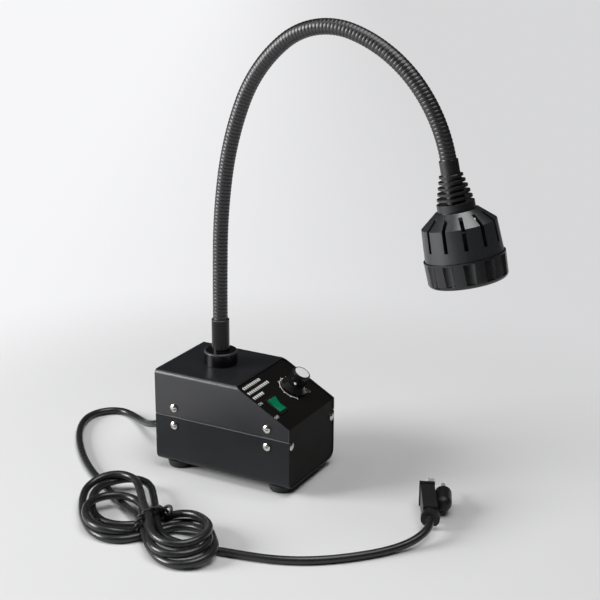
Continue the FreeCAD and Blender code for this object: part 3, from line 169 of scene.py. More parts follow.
REAR_LOBES = [
    [(120, 534, 6), (105, 533, 9), (93, 527.2, 12), (88, 515.6, 13), (90, 504, 13), (97, 495, 13),
     (106, 490, 13), (115.4, 488.5, 13), (126, 490.5, 13), (135, 497, 12.5), (139, 507.8, 12),
     (141, 519, 12)],
    [(120, 540, 4), (105.6, 538.5, 4), (92, 532, 4), (83.5, 518.5, 5), (82, 504.5, 7), (86, 490.5, 9),
     (98, 479, 12), (114.4, 473.5, 15), (128, 475.5, 17), (137, 483, 18), (141.5, 496, 18), (144, 511, 17)],
    [(120, 525.5, 4), (104, 523, 4), (94.5, 514.5, 5), (91.5, 503, 8), (94, 491.5, 11), (105, 481.5, 12.5),
     (120, 476, 12), (135.5, 476.5, 11), (148.5, 484.5, 12), (154, 497, 12), (155.5, 510, 12)],
]
LEAVING = [(157, 524, 12), (163, 536, 9), (173, 543, 5), (186, 546, FLOOR)]
print("turns:", len(FRONT_LOBES), "with", sum(map(len, FRONT_LOBES + REAR_LOBES)), "chosen places")

# %% From the view to the bench
def axis_turn(angle, first, second):
    """A turn from one axis towards another, in double precision."""
    turn = np.eye(3)
    turn[first, first] = turn[second, second] = math.cos(angle)
    turn[first, second], turn[second, first] = -math.sin(angle), math.sin(angle)
    return turn


def bench_place(across, down, height):
    """Where the camera's ray through a place in its view comes down to a height."""
    tilt = axis_turn(math.pi / 2 - CAMERA_ELEVATION, 1, 2)
    view_turn = axis_turn(CAMERA_AZIMUTH, 0, 1) @ tilt @ axis_turn(CAMERA_ROLL, 0, 1)
    half = VIEW_SIZE / 2
    ray = view_turn @ (across - half, half - down, -FOCAL_LENGTH / SENSOR_WIDTH * VIEW_SIZE)
    return np.array(CAMERA_PLACE) + ray * (height - CAMERA_PLACE[2]) / ray[2]


# The places in order, from the lead's last point to the tail's first.
seen = [place for turn in zip(FRONT_LOBES, REAR_LOBES) for lobe in turn for place in lobe]
guide = LEAD_ROUTE[-1:] + ENTRY + [bench_place(*place) for place in seen + LEAVING] + TAIL_ROUTE[:1]
print("guide:", len(guide), "places")

# %% Even steps and bends
FINE_STEP = 4.0
LEAST_SQUARED_AREA = 1e-12


def spaced(line, step):
    """Places at even steps along a line of short straight runs."""
    along = np.r_[0, np.cumsum(np.linalg.norm(np.diff(line, axis=0), axis=1))]
    stops = np.linspace(0, along[-1], round(along[-1] / step) + 1)
    return np.column_stack([np.interp(stops, along, line[:, axis]) for axis in range(3)])


def bend_radii(line):
    """The radius of the circle through each place and its two neighbours."""
    before, after = line[1:-1] - line[:-2], line[2:] - line[1:-1]
    a, b, c = (np.linalg.norm(side, axis=1) for side in (before, after, before + after))
    half = (a + b + c) / 2
    area = np.sqrt(np.maximum(half * (half - a) * (half - b) * (half - c), LEAST_SQUARED_AREA))
    return a * b * c / (4 * area)


drawn_line = spaced(np.array(guide, float), FINE_STEP)
print("tightest bend as drawn", bend_radii(drawn_line).min().round(1), "mm")

# %% Ease the tight bends
LEAST_BEND = 25
EASING_ROUNDS = 200
FIRST_STIFFNESS, MOST_STIFFNESS, STIFFEN = 6.0, 2500, 0.2
SPREAD_STEPS, SPREAD_FADE = 4, 0.7
END_HOLD, HELD_PLACES = 1000, 3


def ease_bends(line):
    """Stiffens the cord round each bend that is too tight, until none is or the rounds end."""
    bend = np.zeros((len(line) - 2, len(line)))
    for i in range(len(bend)):
        bend[i, i:i + 3] = (1, -2, 1)
    stiffness = np.full(len(bend), FIRST_STIFFNESS)
    hold = np.ones(len(line))
    hold[:HELD_PLACES] = hold[-HELD_PLACES:] = END_HOLD
    for _ in range(EASING_ROUNDS):
        pull = np.diag(hold) + bend.T @ (stiffness[:, None] * bend)
        eased = np.linalg.solve(pull, hold[:, None] * line)
        tight = (bend_radii(eased) < LEAST_BEND).astype(float)
        if not tight.any():
            break
        for _ in range(SPREAD_STEPS):
            beside = np.maximum(np.r_[tight[1:], 0], np.r_[0, tight[:-1]])
            tight = np.maximum(tight, beside * SPREAD_FADE)
        stiffness = np.minimum(stiffness * (1 + STIFFEN * tight), MOST_STIFFNESS)
    return eased


eased_line = ease_bends(drawn_line)
print("tightest bend when eased", bend_radii(eased_line).min().round(1), "mm")

# %% Part the crossings
PARTING_ROUNDS = 60
NEARLY_TOUCHING = 7.4
SAME_STRAND = 8
HANK_TOP = 21.5
PUSH_SHARE = 0.25
OWN_SHARE, NEIGHBOUR_SHARE = 0.6, 0.2


def part_crossings(line):
    """Moves the strands of each crossing apart in height, and eases the humps this makes."""
    line = line.copy()
    for _ in range(PARTING_ROUNDS):
        apart = line[None] - line[:, None]
        near = np.triu(np.linalg.norm(apart, axis=2) < NEARLY_TOUCHING, SAME_STRAND + 1)
        level = (apart[:, :, :2] ** 2).sum(axis=2)
        lacking = np.sqrt(np.maximum(CORD_WIDTH ** 2 - level, 0)) - np.abs(apart[:, :, 2])
        lacking = np.where(near & (lacking > 0), lacking, 0)
        if not lacking.any():
            break
        signed = lacking * np.where(apart[:, :, 2] >= 0, 1, -1)
        crossings = (lacking > 0).sum(axis=0) + (lacking > 0).sum(axis=1)
        shift = (signed.sum(axis=0) - signed.sum(axis=1)) * PUSH_SHARE / np.maximum(crossings, 1)
        line[1:-1, 2] += shift[1:-1]
        line[:, 2] = np.maximum(line[:, 2], FLOOR)
        line[1:-1, 2] = line[1:-1, 2] * OWN_SHARE + (line[:-2, 2] + line[2:, 2]) * NEIGHBOUR_SHARE
        line[:, 2] = np.clip(line[:, 2], FLOOR, HANK_TOP)
    return line


settled_line = part_crossings(eased_line)
print("heights", settled_line[:, 2].min(), "to", settled_line[:, 2].max().round(1), "mm")

# %% The hank's points
POINT_STEP = 17.0
SPLINE_RUNS_INSIDE = 1 / 8


def curve_points(line):
    """Points for the spline, each moved out because the spline runs inside its points."""
    points = spaced(line, POINT_STEP)
    inward = points[:-2] - 2 * points[1:-1] + points[2:]
    points = points[1:-1] - inward * SPLINE_RUNS_INSIDE
    points[:, 2] = np.maximum(points[:, 2], FLOOR)
    return points.round(1).tolist()


hank_route = curve_points(settled_line)
print("hank:", len(hank_route), "points from", hank_route[0], "to", hank_route[-1])

# %% Make the cord
def open_spline(name, points, diameter):
    """One smooth open curve with a round section; the points are in millimetres."""
    curve = bpy.data.curves.new(name, "CURVE")
    curve.dimensions = "3D"
    curve.bevel_depth = diameter / 2
    curve.bevel_resolution = 5
    curve.resolution_u = 8
    curve.use_fill_caps = True
    spline = curve.splines.new("NURBS")
    spline.points.add(len(points) - 1)
    for point, place in zip(spline.points, points):
        point.co = (*(Vector(place) * MM), 1)
    spline.order_u = 3
    spline.use_endpoint_u = True
    return put(name, curve)


def line_length(piece):
    """The length in metres of a curve's own line, read with its bevel off."""
    bevel = piece.data.bevel_depth
    piece.data.bevel_depth = 0
    line = final_mesh(piece)
    places = [vertex.co.copy() for vertex in line.vertices]
    bpy.data.meshes.remove(line)
    piece.data.bevel_depth = bevel
    return sum((b - a).length for a, b in zip(places, places[1:]))


cord = open_spline("mains_cord", LEAD_ROUTE + hank_route + TAIL_ROUTE, CORD_DIAMETER)
cord_length = line_length(cord)
print("cord", round(cord_length, 3), "m")

# %% [markdown]
# ## Sums on sockets
#
# A procedural surface is a sum of patterns, and a sum of patterns is a tree of Math nodes.
# Wiring each node by hand is long to read. So one small class wraps a node's output and
# gives it Python's own operators. The same class works in a material and in a Geometry
# Nodes tree, because both use the same Math node.

# %% Sockets with operators
class Sum:
    """A node's output that can be added, taken away, multiplied and so on."""

    def __init__(self, tree, socket):
        self.tree = tree
        self.socket = socket

    def math(self, operation, *others, swapped=False):
        values = [self, *others]
        if swapped:
            values.reverse()
        return add_node(self.tree, "ShaderNodeMath", {"operation": operation}, dict(enumerate(values)))[0]

    def __add__(self, other):
        return self.math("ADD", other)

    def __radd__(self, other):
        return self.math("ADD", other)

    def __sub__(self, other):
        return self.math("SUBTRACT", other)

    def __rsub__(self, other):
        return self.math("SUBTRACT", other, swapped=True)

    def __mul__(self, other):
        return self.math("MULTIPLY", other)

    def __rmul__(self, other):
        return self.math("MULTIPLY", other)

    def __truediv__(self, other):
        return self.math("DIVIDE", other)

    def __lt__(self, other):
        return self.math("LESS_THAN", other)

    def __gt__(self, other):
        return self.math("GREATER_THAN", other)


def add_node(tree, kind, settings=None, inputs=None):
    """Adds a node, sets it up, fills its sockets by name or number and returns its outputs."""
    node = tree.nodes.new(kind)
    for name, value in (settings or {}).items():
        setattr(node, name, value)
    live = [socket for socket in node.inputs if socket.enabled]
    by_name = {socket.name: socket for socket in reversed(live)}
    for key, value in (inputs or {}).items():
        socket = live[key] if isinstance(key, int) else by_name[key]
        if isinstance(value, Sum):
            tree.links.new(value.socket, socket)
        else:
            socket.default_value = value
    return [Sum(tree, socket) for socket in node.outputs if socket.enabled]


def mix_colours(tree, share, first, second):
    settings = {"data_type": "RGBA"}
    return add_node(tree, "ShaderNodeMix", settings, {"Factor": share, "A": first, "B": second})[0]


print("operators:", [name for name in vars(Sum) if name.startswith("__") and name != "__init__"][1:])

# %% [markdown]
# ## Finishes
#
# Nearly everything on this lamp is black, so the finishes differ in how they break up the
# light and not in their colour. Powder paint has a fine orange peel, rubber has a dull
# bloom, moulded plastic has a soft sheen. Each finish is a Principled shader with a fine
# noise for the surface and a slow one for handling marks. The numbers that are the same
# all over a surface are set on the shader's own sockets.

# %% The general finish
MATERIALS = {}


def new_material(name):
    material = bpy.data.materials.new(name)
    material.use_nodes = True
    tree = material.node_tree
    shader = tree.nodes["Principled BSDF"]
    MATERIALS[name] = material
    return tree, shader


def object_noise(tree, per_mm, detail=3.0):
    """Noise from -0.5 to 0.5 whose grains are about as many to the millimetre."""
    place = add_node(tree, "ShaderNodeTexCoord")[3]
    scaled = add_node(tree, "ShaderNodeMapping", None, {"Vector": place, "Scale": [per_mm / MM] * 3})[0]
    inputs = {"Vector": scaled, "Scale": 1.0, "Detail": detail}
    noise = add_node(tree, "ShaderNodeTexNoise", None, inputs)[0]
    return noise - 0.5


def set_bump(tree, shader, height, depth):
    """Lets a height, in shares of the depth in metres, shade the surface."""
    inputs = {"Height": height, "Strength": 1.0, "Distance": depth}
    normal = add_node(tree, "ShaderNodeBump", None, inputs)[0]
    tree.links.new(normal.socket, shader.inputs["Normal"])


MARKS_PER_MM = 0.03
MARKS_IN_TONE, GRAIN_IN_TONE = 1.6, 0.5
MARKS_IN_GLOSS, GRAIN_IN_GLOSS = 0.12, 0.08
COAT_ROUGHNESS = 0.12


def finish(name, colour, roughness, grain=1.5, grain_depth=0.02, wear=0.25, metal=0.0, coat=0.0,
           specular=0.5):
    """A finish with a fine grain, slow changes of tone and a little unevenness in its gloss."""
    tree, shader = new_material(name)
    slow = object_noise(tree, MARKS_PER_MM, 4.0)
    fine = object_noise(tree, grain, 2.0)
    dark = tuple(channel * (1 - wear) for channel in colour) + (1,)
    light = tuple(min(channel * (1 + wear), 1) for channel in colour) + (1,)
    tone = mix_colours(tree, slow * MARKS_IN_TONE + fine * GRAIN_IN_TONE + 0.5, dark, light)
    gloss = slow * MARKS_IN_GLOSS + fine * GRAIN_IN_GLOSS + roughness
    tree.links.new(tone.socket, shader.inputs["Base Color"])
    tree.links.new(gloss.socket, shader.inputs["Roughness"])
    shader.inputs["Metallic"].default_value = metal
    shader.inputs["Coat Weight"].default_value = coat
    shader.inputs["Coat Roughness"].default_value = COAT_ROUGHNESS
    shader.inputs["Specular IOR Level"].default_value = specular
    set_bump(tree, shader, fine, grain_depth * MM)


finish("upper_paint", (0.011, 0.0115, 0.014), 0.33, 1.1, 0.05, 0.12, specular=0.9)
finish("lower_paint", (0.01, 0.011, 0.0125), 0.42, 1.1, 0.05, 0.12, specular=0.3)
# The next two finishes go on bevelled edges as painted highlights. The paler one, on the top cover, also has
# some worn paint. The darker one is the light rim on the neck's sleeves and the rocker's housing.
finish("edge_highlight_and_wear", (0.2, 0.2, 0.215), 0.4, 1.1, 0.02, 0.2)
finish("painted_rim_highlight", (0.05, 0.05, 0.055), 0.4, 1.1, 0.02, 0.2)
finish("panel_black", (0.007, 0.0062, 0.0058), 0.55, 1.3, 0.03, 0.15, specular=0.1)
finish("sleeve_black", (0.003, 0.003, 0.004), 0.24, 1.8, 0.02, specular=0.3)
finish("hose_black", (0.004, 0.004, 0.005), 0.4, 2.0, 0.02, specular=0.85)
# This black goes on the parts inside the head: painted shade, so that the vent slots show dark.
finish("head_inside_shade_black", (0.012, 0.012, 0.012), 0.6, 0.8, 0.03, specular=0.2)
finish("boot_rubber", (0.004, 0.004, 0.005), 0.32, 1.2, 0.03, specular=0.9)
finish("head_black", (0.016, 0.017, 0.019), 0.31, 1.5, 0.03, 0.12, specular=1.0)
finish("ring_black", (0.007, 0.0075, 0.009), 0.26, 1.5, 0.03, 0.12, specular=0.65)
finish("foot_rubber", (0.014, 0.014, 0.014), 0.7, 0.8, 0.08)
finish("cord_black", (0.018, 0.018, 0.019), 0.28, 1.2, 0.03, 0.2)
finish("plug_black", (0.012, 0.012, 0.013), 0.42, 0.9, 0.06, specular=0.35)
finish("knob_black", (0.008, 0.008, 0.009), 0.16, 1.0, 0.01, coat=0.4)
finish("switch_black", (0.012, 0.012, 0.012), 0.3, 1.2, 0.02)
finish("print_white", (0.93, 0.94, 0.91), 0.5, 3.0, 0.01, 0.05)
finish("bright_pin", (0.82, 0.81, 0.78), 0.42, 1.2, 0.01, 0.08, metal=0.7)
finish("nickel", (0.68, 0.66, 0.62), 0.22, 1.2, 0.01, 0.1, metal=1.0)
finish("zinc_sheet", (0.5, 0.5, 0.49), 0.42, 0.4, 0.02, 0.2, metal=1.0)
finish("steel", (0.45, 0.45, 0.44), 0.3, 1.0, 0.01, 0.15, metal=1.0)
finish("brass", (0.72, 0.52, 0.24), 0.28, 0.8, 0.01, 0.15, metal=1.0)
# The lamp base's ceramic is darkened: painted shade inside the head.
finish("ceramic", (0.2, 0.19, 0.17), 0.6, 1.0, 0.05, 0.08)
finish("board_green", (0.03, 0.13, 0.05), 0.4, 0.5, 0.02, 0.2)
finish("moulded_black", (0.02, 0.02, 0.02), 0.45, 0.8, 0.03)
finish("sleeve_blue", (0.03, 0.06, 0.25), 0.3, 0.6, 0.01)
finish("block_white", (0.7, 0.7, 0.66), 0.5, 0.8, 0.03, 0.08)
print(len(MATERIALS), "plain finishes")

# %% [markdown]
# ## Finishes with a pattern
#
# A few parts show how they are made. The transformer's core is a stack of thin steel sheets, its coil is
# wrapped in paper tape, the rocker is glossy green plastic, and the glass in the head is plain and clear. A
# wave along one axis draws the sheets and the turns of tape. The lower cover's paint is pale in a narrow band
# along the seam: a painted highlight where the seam's edge catches the light, with some worn paint.

# %% Layered and clear finishes
WAVE_IN_TONE, MOTTLE_IN_TONE, MOTTLE_PER_MM = 0.4, 0.6, 0.3
WAVE_DEPTH = 0.06
SMEAR_IN_GLOSS, SMEARS_PER_MM = 0.06, 0.05


def layered(name, dark, light, per_mm, axis, roughness, metal=0.0):
    """Fine stripes across one axis, as in a stack of sheets or a wound tape."""
    tree, shader = new_material(name)
    place = add_node(tree, "ShaderNodeTexCoord")[3]
    along = add_node(tree, "ShaderNodeSeparateXYZ", None, {"Vector": place})["XYZ".index(axis)]
    wave = (along * (per_mm / MM * 2 * math.pi)).math("SINE")
    share = wave * WAVE_IN_TONE + object_noise(tree, MOTTLE_PER_MM) * MOTTLE_IN_TONE + 0.5
    tone = mix_colours(tree, share, dark + (1,), light + (1,))
    tree.links.new(tone.socket, shader.inputs["Base Color"])
    shader.inputs["Roughness"].default_value = roughness
    shader.inputs["Metallic"].default_value = metal
    set_bump(tree, shader, wave * 0.5, WAVE_DEPTH * MM)


def clear(name, colour, roughness):
    """Glass: see-through, with a trace of colour."""
    tree, shader = new_material(name)
    smear = object_noise(tree, SMEARS_PER_MM)
    tree.links.new((smear * SMEAR_IN_GLOSS + roughness).socket, shader.inputs["Roughness"])
    shader.inputs["Base Color"].default_value = colour + (1,)
    shader.inputs["Transmission Weight"].default_value = 1
    shader.inputs["IOR"].default_value = 1.5


SEAM_HEIGHT = 60.1
RIM_WIDTH = 0.9
# The seam band's pale colour is a painted highlight, with some worn paint.
RIM_HIGHLIGHT_COLOUR = (0.2, 0.2, 0.215)
RIM_HIGHLIGHT_AND_WEAR = 0.8


def seam_highlight_and_wear(name):
    """Paints a finish pale in a narrow band each side of the seam: a painted highlight where the seam's edge
    catches the light, with some worn paint.
    """
    tree = MATERIALS[name].node_tree
    base_colour = tree.nodes["Principled BSDF"].inputs["Base Color"]
    painted = Sum(tree, base_colour.links[0].from_socket)
    place = add_node(tree, "ShaderNodeTexCoord")[3]
    height = add_node(tree, "ShaderNodeSeparateXYZ", None, {"Vector": place})[2]
    low, high = (SEAM_HEIGHT - RIM_WIDTH) * MM, (SEAM_HEIGHT + RIM_WIDTH) * MM
    band = (height > low) * (height < high)
    lit_and_worn = mix_colours(tree, band * RIM_HIGHLIGHT_AND_WEAR, painted, RIM_HIGHLIGHT_COLOUR + (1,))
    tree.links.new(lit_and_worn.socket, base_colour)


# A painted highlight along the lower cover's seam, with some worn paint.
seam_highlight_and_wear("lower_paint")
layered("core_sheets", (0.2, 0.19, 0.18), (0.42, 0.4, 0.37), 1.0, "Y", 0.42, 0.9)
layered("coil_tape", (0.62, 0.5, 0.2), (0.8, 0.68, 0.34), 0.12, "Z", 0.45)
clear("plain_glass", (0.96, 0.98, 0.98), 0.03)
finish("dichroic_mirror", (0.8, 0.78, 0.82), 0.12, 0.4, 0.02, 0.06, metal=1.0)
finish("rocker_green", (0.0, 0.23, 0.1), 0.2, 0.8, 0.01, 0.08, coat=0.3)
finish("cap_white", (0.95, 0.95, 0.93), 0.35, 1.5, 0.01, 0.02)
finish("tie_black", (0.012, 0.012, 0.012), 0.5, 1.5, 0.03)
print(len(MATERIALS), "finishes in all")

# %% [markdown]
# ## Giving the CAD parts their finish
#
# Parts whose shape is already right keep their CAD mesh, and only their material slots
# change. A table says which finish each part has.

# %% Finish of each CAD part
PART_FINISHES = {
    "upper_paint": ["top_cover"],
    "lower_paint": ["bottom_cover"],
    "panel_black": ["control_panel", "rear_panel"],
    "zinc_sheet": ["joint_straps", "transformer_frame"],
    "nickel": ["case_screws", "foot_screws", "neck_nut", "lamp_pins", "knob_set_screw", "board_screw"],
    "bright_pin": ["plug_blades", "plug_ground_pin"],
    "foot_rubber": ["feet"],
    "sleeve_black": ["neck_collar", "neck_ferrule"],
    "hose_black": ["neck_span_%d" % number for number in range(1, 8)],
    "boot_rubber": ["neck_boot", "glass_gasket"],
    "head_black": ["lamp_housing"],
    "ring_black": ["bezel_ring"],
    # The head's inner parts get this black as painted shade seen through the vent slots.
    "head_inside_shade_black": ["lamp_carrier", "holder_bracket", "head_nipple", "head_nut"],
    "steel": ["pot_nut", "transformer_bolts", "pot_shaft"],
    "plain_glass": ["front_glass", "lamp_capsule"],
    "dichroic_mirror": ["lamp_reflector"],
    # The lamp base is darkened here as painted shade inside the head.
    "ceramic": ["lamp_base"],
    "knob_black": ["knob_body"],
    "cap_white": ["knob_cap"],
    # The lamp holder is black here as painted shade inside the head; the other parts are black plastic.
    "moulded_black": ["lamp_holder", "pot_body", "triac", "gland_nut", "cord_gland"],
    "switch_black": ["rocker_housing"],
    "rocker_green": ["rocker"],
    "brass": ["rocker_terminals", "board_post"],
    "core_sheets": ["transformer_core"],
    "coil_tape": ["transformer_coil"],
    "board_green": ["dimmer_board"],
    "sleeve_blue": ["capacitor"],
    "block_white": ["terminal_block"],
    "cord_black": ["cord_lead", "cord_hank", "cord_tail"],
    "plug_black": ["plug_body"],
    "tie_black": ["cord_tie"],
}


def set_finish(piece, finish_name):
    """Puts one finish on every slot of a piece, and makes the slot if there is none."""
    if not piece.material_slots:
        piece.data.materials.append(None)
    for material_slot in piece.material_slots:
        material_slot.material = MATERIALS[finish_name]


for finish_name, parts in PART_FINISHES.items():
    for part in parts:
        set_finish(nodes[part], finish_name)
print("bare parts:", sorted(set(nodes) - {part for parts in PART_FINISHES.values() for part in parts}))

# %% [markdown]
# ## The bench, the room and its lamps
#
# Black things are drawn by what they reflect. A big soft lamp at the left makes the long highlights on the
# sides. One overhead, towards the panel's end, lights the tops and the sloping panel, which the left lamp
# only grazes. A small one high at the left draws the fold of the top cover. The bench is pale and plain. Away
# from the object the bench and the room have a pale look, but only for rays that the camera sees, straight or
# through glass, so that this look throws no light on the object. On the bench this look darkens towards the
# right: painted shade, as the left lamp's light falls off.

# %% Stage and light
FLOOR_REACH = 9.0


def make_floor():
    mesh = bpy.data.meshes.new("bench")
    corners = [(x * FLOOR_REACH, y * FLOOR_REACH, 0) for x, y in ((-1, -1), (1, -1), (1, 1), (-1, 1))]
    mesh.from_pydata(corners, [], [(0, 1, 2, 3)])
    floor = put("bench", mesh)
    return floor


def soft_lamp(name, place, width, height, power):
    """A rectangular soft box that faces the middle of the object."""
    lamp = bpy.data.lights.new(name, "AREA")
    lamp.shape = "RECTANGLE"
    lamp.size, lamp.size_y = width, height
    lamp.energy = power
    piece = put(name, lamp)
    piece.location = place
    piece.rotation_euler = (Vector(MIDDLE) - Vector(place)).to_track_quat("-Z", "Y").to_euler()


def smooth_step(tree, value, low, high):
    """Goes from 0 to 1, without a kink, as the value goes from low to high."""
    inputs = {"Value": value, "From Min": low, "From Max": high}
    return add_node(tree, "ShaderNodeMapRange", {"interpolation_type": "SMOOTHSTEP"}, inputs)[0]


def seen_share(tree):
    """1 for a ray that the camera sees straight or through glass, and 0 for any other."""
    rays = {output.socket.name: output for output in add_node(tree, "ShaderNodeLightPath")}
    return rays["Is Camera Ray"].math("MAXIMUM", rays["Is Transmission Ray"])


def bench_paper(name):
    """Paper that takes the object's shadow; further off a glow with painted shade towards the right, for seen
    rays only.
    """
    tree, shader = new_material(name)
    shader.inputs["Base Color"].default_value = PAPER + (1,)
    shader.inputs["Roughness"].default_value = 0.9
    shader.inputs["Specular IOR Level"].default_value = 0.1
    place = add_node(tree, "ShaderNodeTexCoord")[3]
    distance = add_node(tree, "ShaderNodeVectorMath", {"operation": "LENGTH"}, {0: place})[0]
    inputs = {0: place, 1: ACROSS_VIEW}
    across = add_node(tree, "ShaderNodeVectorMath", {"operation": "DOT_PRODUCT"}, inputs)[0]
    painted_falloff = smooth_step(tree, across, *PAINTED_FALLOFF_SPREAD)
    glow_with_painted_shade = mix_colours(tree, painted_falloff, LEFT_GLOW + (1,), RIGHT_GLOW_PAINTED_SHADE + (1,))
    glow = add_node(tree, "ShaderNodeEmission", None, {"Color": glow_with_painted_shade, "Strength": 1.0})[0]
    share = smooth_step(tree, distance, *GLOW_FROM) * seen_share(tree)
    inputs = {0: share, 1: Sum(tree, shader.outputs[0]), 2: glow}
    mixed = add_node(tree, "ShaderNodeMixShader", None, inputs)[0]
    output = next(node for node in tree.nodes if node.type == "OUTPUT_MATERIAL")
    tree.links.new(mixed.socket, output.inputs["Surface"])


def pale_room(name):
    """A dim room that looks pale where a seen ray meets it beyond the bench."""
    world = bpy.context.scene.world or bpy.data.worlds.new(name)
    bpy.context.scene.world = world
    world.use_nodes = True
    tree = world.node_tree
    background = tree.nodes["Background"]
    background.inputs["Color"].default_value = ROOM_COLOUR + (1,)
    strength = seen_share(tree) * (ROOM_LOOK - ROOM_LIGHT) + ROOM_LIGHT
    tree.links.new(strength.socket, background.inputs["Strength"])


PAPER = (0.67, 0.67, 0.673)
ACROSS_VIEW = (math.cos(CAMERA_AZIMUTH), math.sin(CAMERA_AZIMUTH), 0)
# The bench's far glow goes darker from left to right: painted shade for the left lamp's falloff.
PAINTED_FALLOFF_SPREAD = (-0.45, 0.45)
GLOW_FROM = (0.26, 0.62)
LEFT_GLOW = (0.93, 0.93, 0.945)
RIGHT_GLOW_PAINTED_SHADE = (0.68, 0.68, 0.69)
ROOM_COLOUR = (0.96, 0.97, 0.99)
ROOM_LIGHT, ROOM_LOOK = 0.03, 0.76
MIDDLE = (0.0, 0.0, 0.2)
# Each lamp's name, place, width and height in metres, and power in watts.
LAMPS = [
    ("left_box", (-1.98, -1.5, 1.04), 1.3, 1.3, 90),
    ("top_box", (0.5, -0.1, 2.1), 1.5, 1.5, 32),
    ("fold_box", (-1.0, -0.64, 1.9), 0.9, 0.6, 4),
]
floor = make_floor()
bench_paper("bench_white")
set_finish(floor, "bench_white")
for lamp_facts in LAMPS:
    soft_lamp(*lamp_facts)
pale_room("room")
bpy.context.scene.view_settings.view_transform = "Standard"

# %% [markdown] ## The cord's finish The cord takes the place of its three CAD solids.

cord.data.materials.append(MATERIALS["cord_black"])
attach(cord, "base")
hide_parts("cord_lead", "cord_hank", "cord_tail")

# %% [markdown]
# ## The wound hose
#
# A gooseneck is a steel strip wound into a tube, so its ribs are one long screw thread. It
# could be a stack of rings, but then the ribs would not climb. Geometry Nodes take a flat
# grid and wrap it round the neck's line. Each row starts a little further along and ends
# one rib higher than it began, which makes the helix, and the radius swells and sinks once
# a rib. The neck bends at six joints, so there are six pieces with one joint each, cut
# midway between the joints.

# %% The neck's joints
NECK_FOOT = (-28.2, 154.7)
SPAN_LENGTH = 75
SPAN_HEADINGS = [0, 1.5, 9, 22.2, 51, 106.7, 138.3, 167.3]


def neck_poses():
    """Across, up and heading at the end of each span: every span is an arc of one length."""
    poses = [(*NECK_FOOT, SPAN_HEADINGS[0])]
    for start, end in zip(SPAN_HEADINGS, SPAN_HEADINGS[1:]):
        half_turn = math.radians(end - start) / 2
        chord = SPAN_LENGTH * math.sin(half_turn) / half_turn
        middle = math.radians(start + end) / 2
        x, z, _ = poses[-1]
        poses.append((x + chord * math.sin(middle), z + chord * math.cos(middle), end))
    return poses


NECK_POSES = neck_poses()
print("neck ends at", [round(value, 1) for value in NECK_POSES[-1]])

# %% The neck's line
HIDDEN_END = 12
LINE_STEPS = 48


def neck_heading(angle):
    return Vector((math.sin(math.radians(angle)), 0, math.cos(math.radians(angle))))


def neck_line():
    """A Bezier curve through the joints, its handles as long as arcs of this turn need."""
    places = [Vector((x, 0, z)) for x, z, _ in NECK_POSES]
    headings = [neck_heading(angle) for _, _, angle in NECK_POSES]
    places = [places[0] - headings[0] * HIDDEN_END] + places + [places[-1] + headings[-1] * HIDDEN_END]
    headings = [headings[0]] + headings + [headings[-1]]
    turns = [0] + [math.radians(b[2] - a[2]) for a, b in zip(NECK_POSES, NECK_POSES[1:])] + [0]
    runs = [HIDDEN_END] + [SPAN_LENGTH] * (len(NECK_POSES) - 1) + [HIDDEN_END]
    reaches = [run / 3 if turn == 0 else 4 / 3 * math.tan(turn / 4) * run / turn
               for run, turn in zip(runs, turns)]
    curve = bpy.data.curves.new("neck_line", "CURVE")
    curve.dimensions = "3D"
    curve.resolution_u = LINE_STEPS
    spline = curve.splines.new("BEZIER")
    spline.bezier_points.add(len(places) - 1)
    for i, (point, place, heading) in enumerate(zip(spline.bezier_points, places, headings)):
        point.handle_left_type = point.handle_right_type = "FREE"
        point.co = place * MM
        point.handle_left = (place - heading * reaches[max(i - 1, 0)]) * MM
        point.handle_right = (place + heading * reaches[min(i, len(reaches) - 1)]) * MM
    return curve


hose_line = neck_line()
print("neck line with", len(hose_line.splines[0].bezier_points), "points")

# %% The tree that winds the hose
def new_tree(name, inputs):
    """A Geometry Nodes tree with a geometry in and out and the named number inputs."""
    tree = bpy.data.node_groups.new(name, "GeometryNodeTree")
    tree.interface.new_socket("Geometry", in_out="INPUT", socket_type="NodeSocketGeometry")
    for label, kind in inputs:
        tree.interface.new_socket(label, in_out="INPUT", socket_type=kind)
    tree.interface.new_socket("Geometry", in_out="OUTPUT", socket_type="NodeSocketGeometry")
    outputs = add_node(tree, "NodeGroupInput")
    return tree, dict(zip(["Geometry"] + [label for label, _ in inputs], outputs))


def finish_tree(tree, geometry, material):
    """Ends a tree: instances become real, the finish goes on, and the result goes out."""
    real = add_node(tree, "GeometryNodeRealizeInstances", None, {"Geometry": geometry})[0]
    smooth = add_node(tree, "GeometryNodeSetShadeSmooth", None, {"Geometry": real})[0]
    coloured = add_node(tree, "GeometryNodeSetMaterial", None, {"Geometry": smooth, "Material": material})[0]
    add_node(tree, "NodeGroupOutput", None, {"Geometry": coloured})


def vector_math(tree, operation, *values):
    """A Vector Math node; a scale takes its factor by name."""
    inputs = {0: values[0], ("Scale" if operation == "SCALE" else 1): values[1]}
    return add_node(tree, "ShaderNodeVectorMath", {"operation": operation}, inputs)[0]


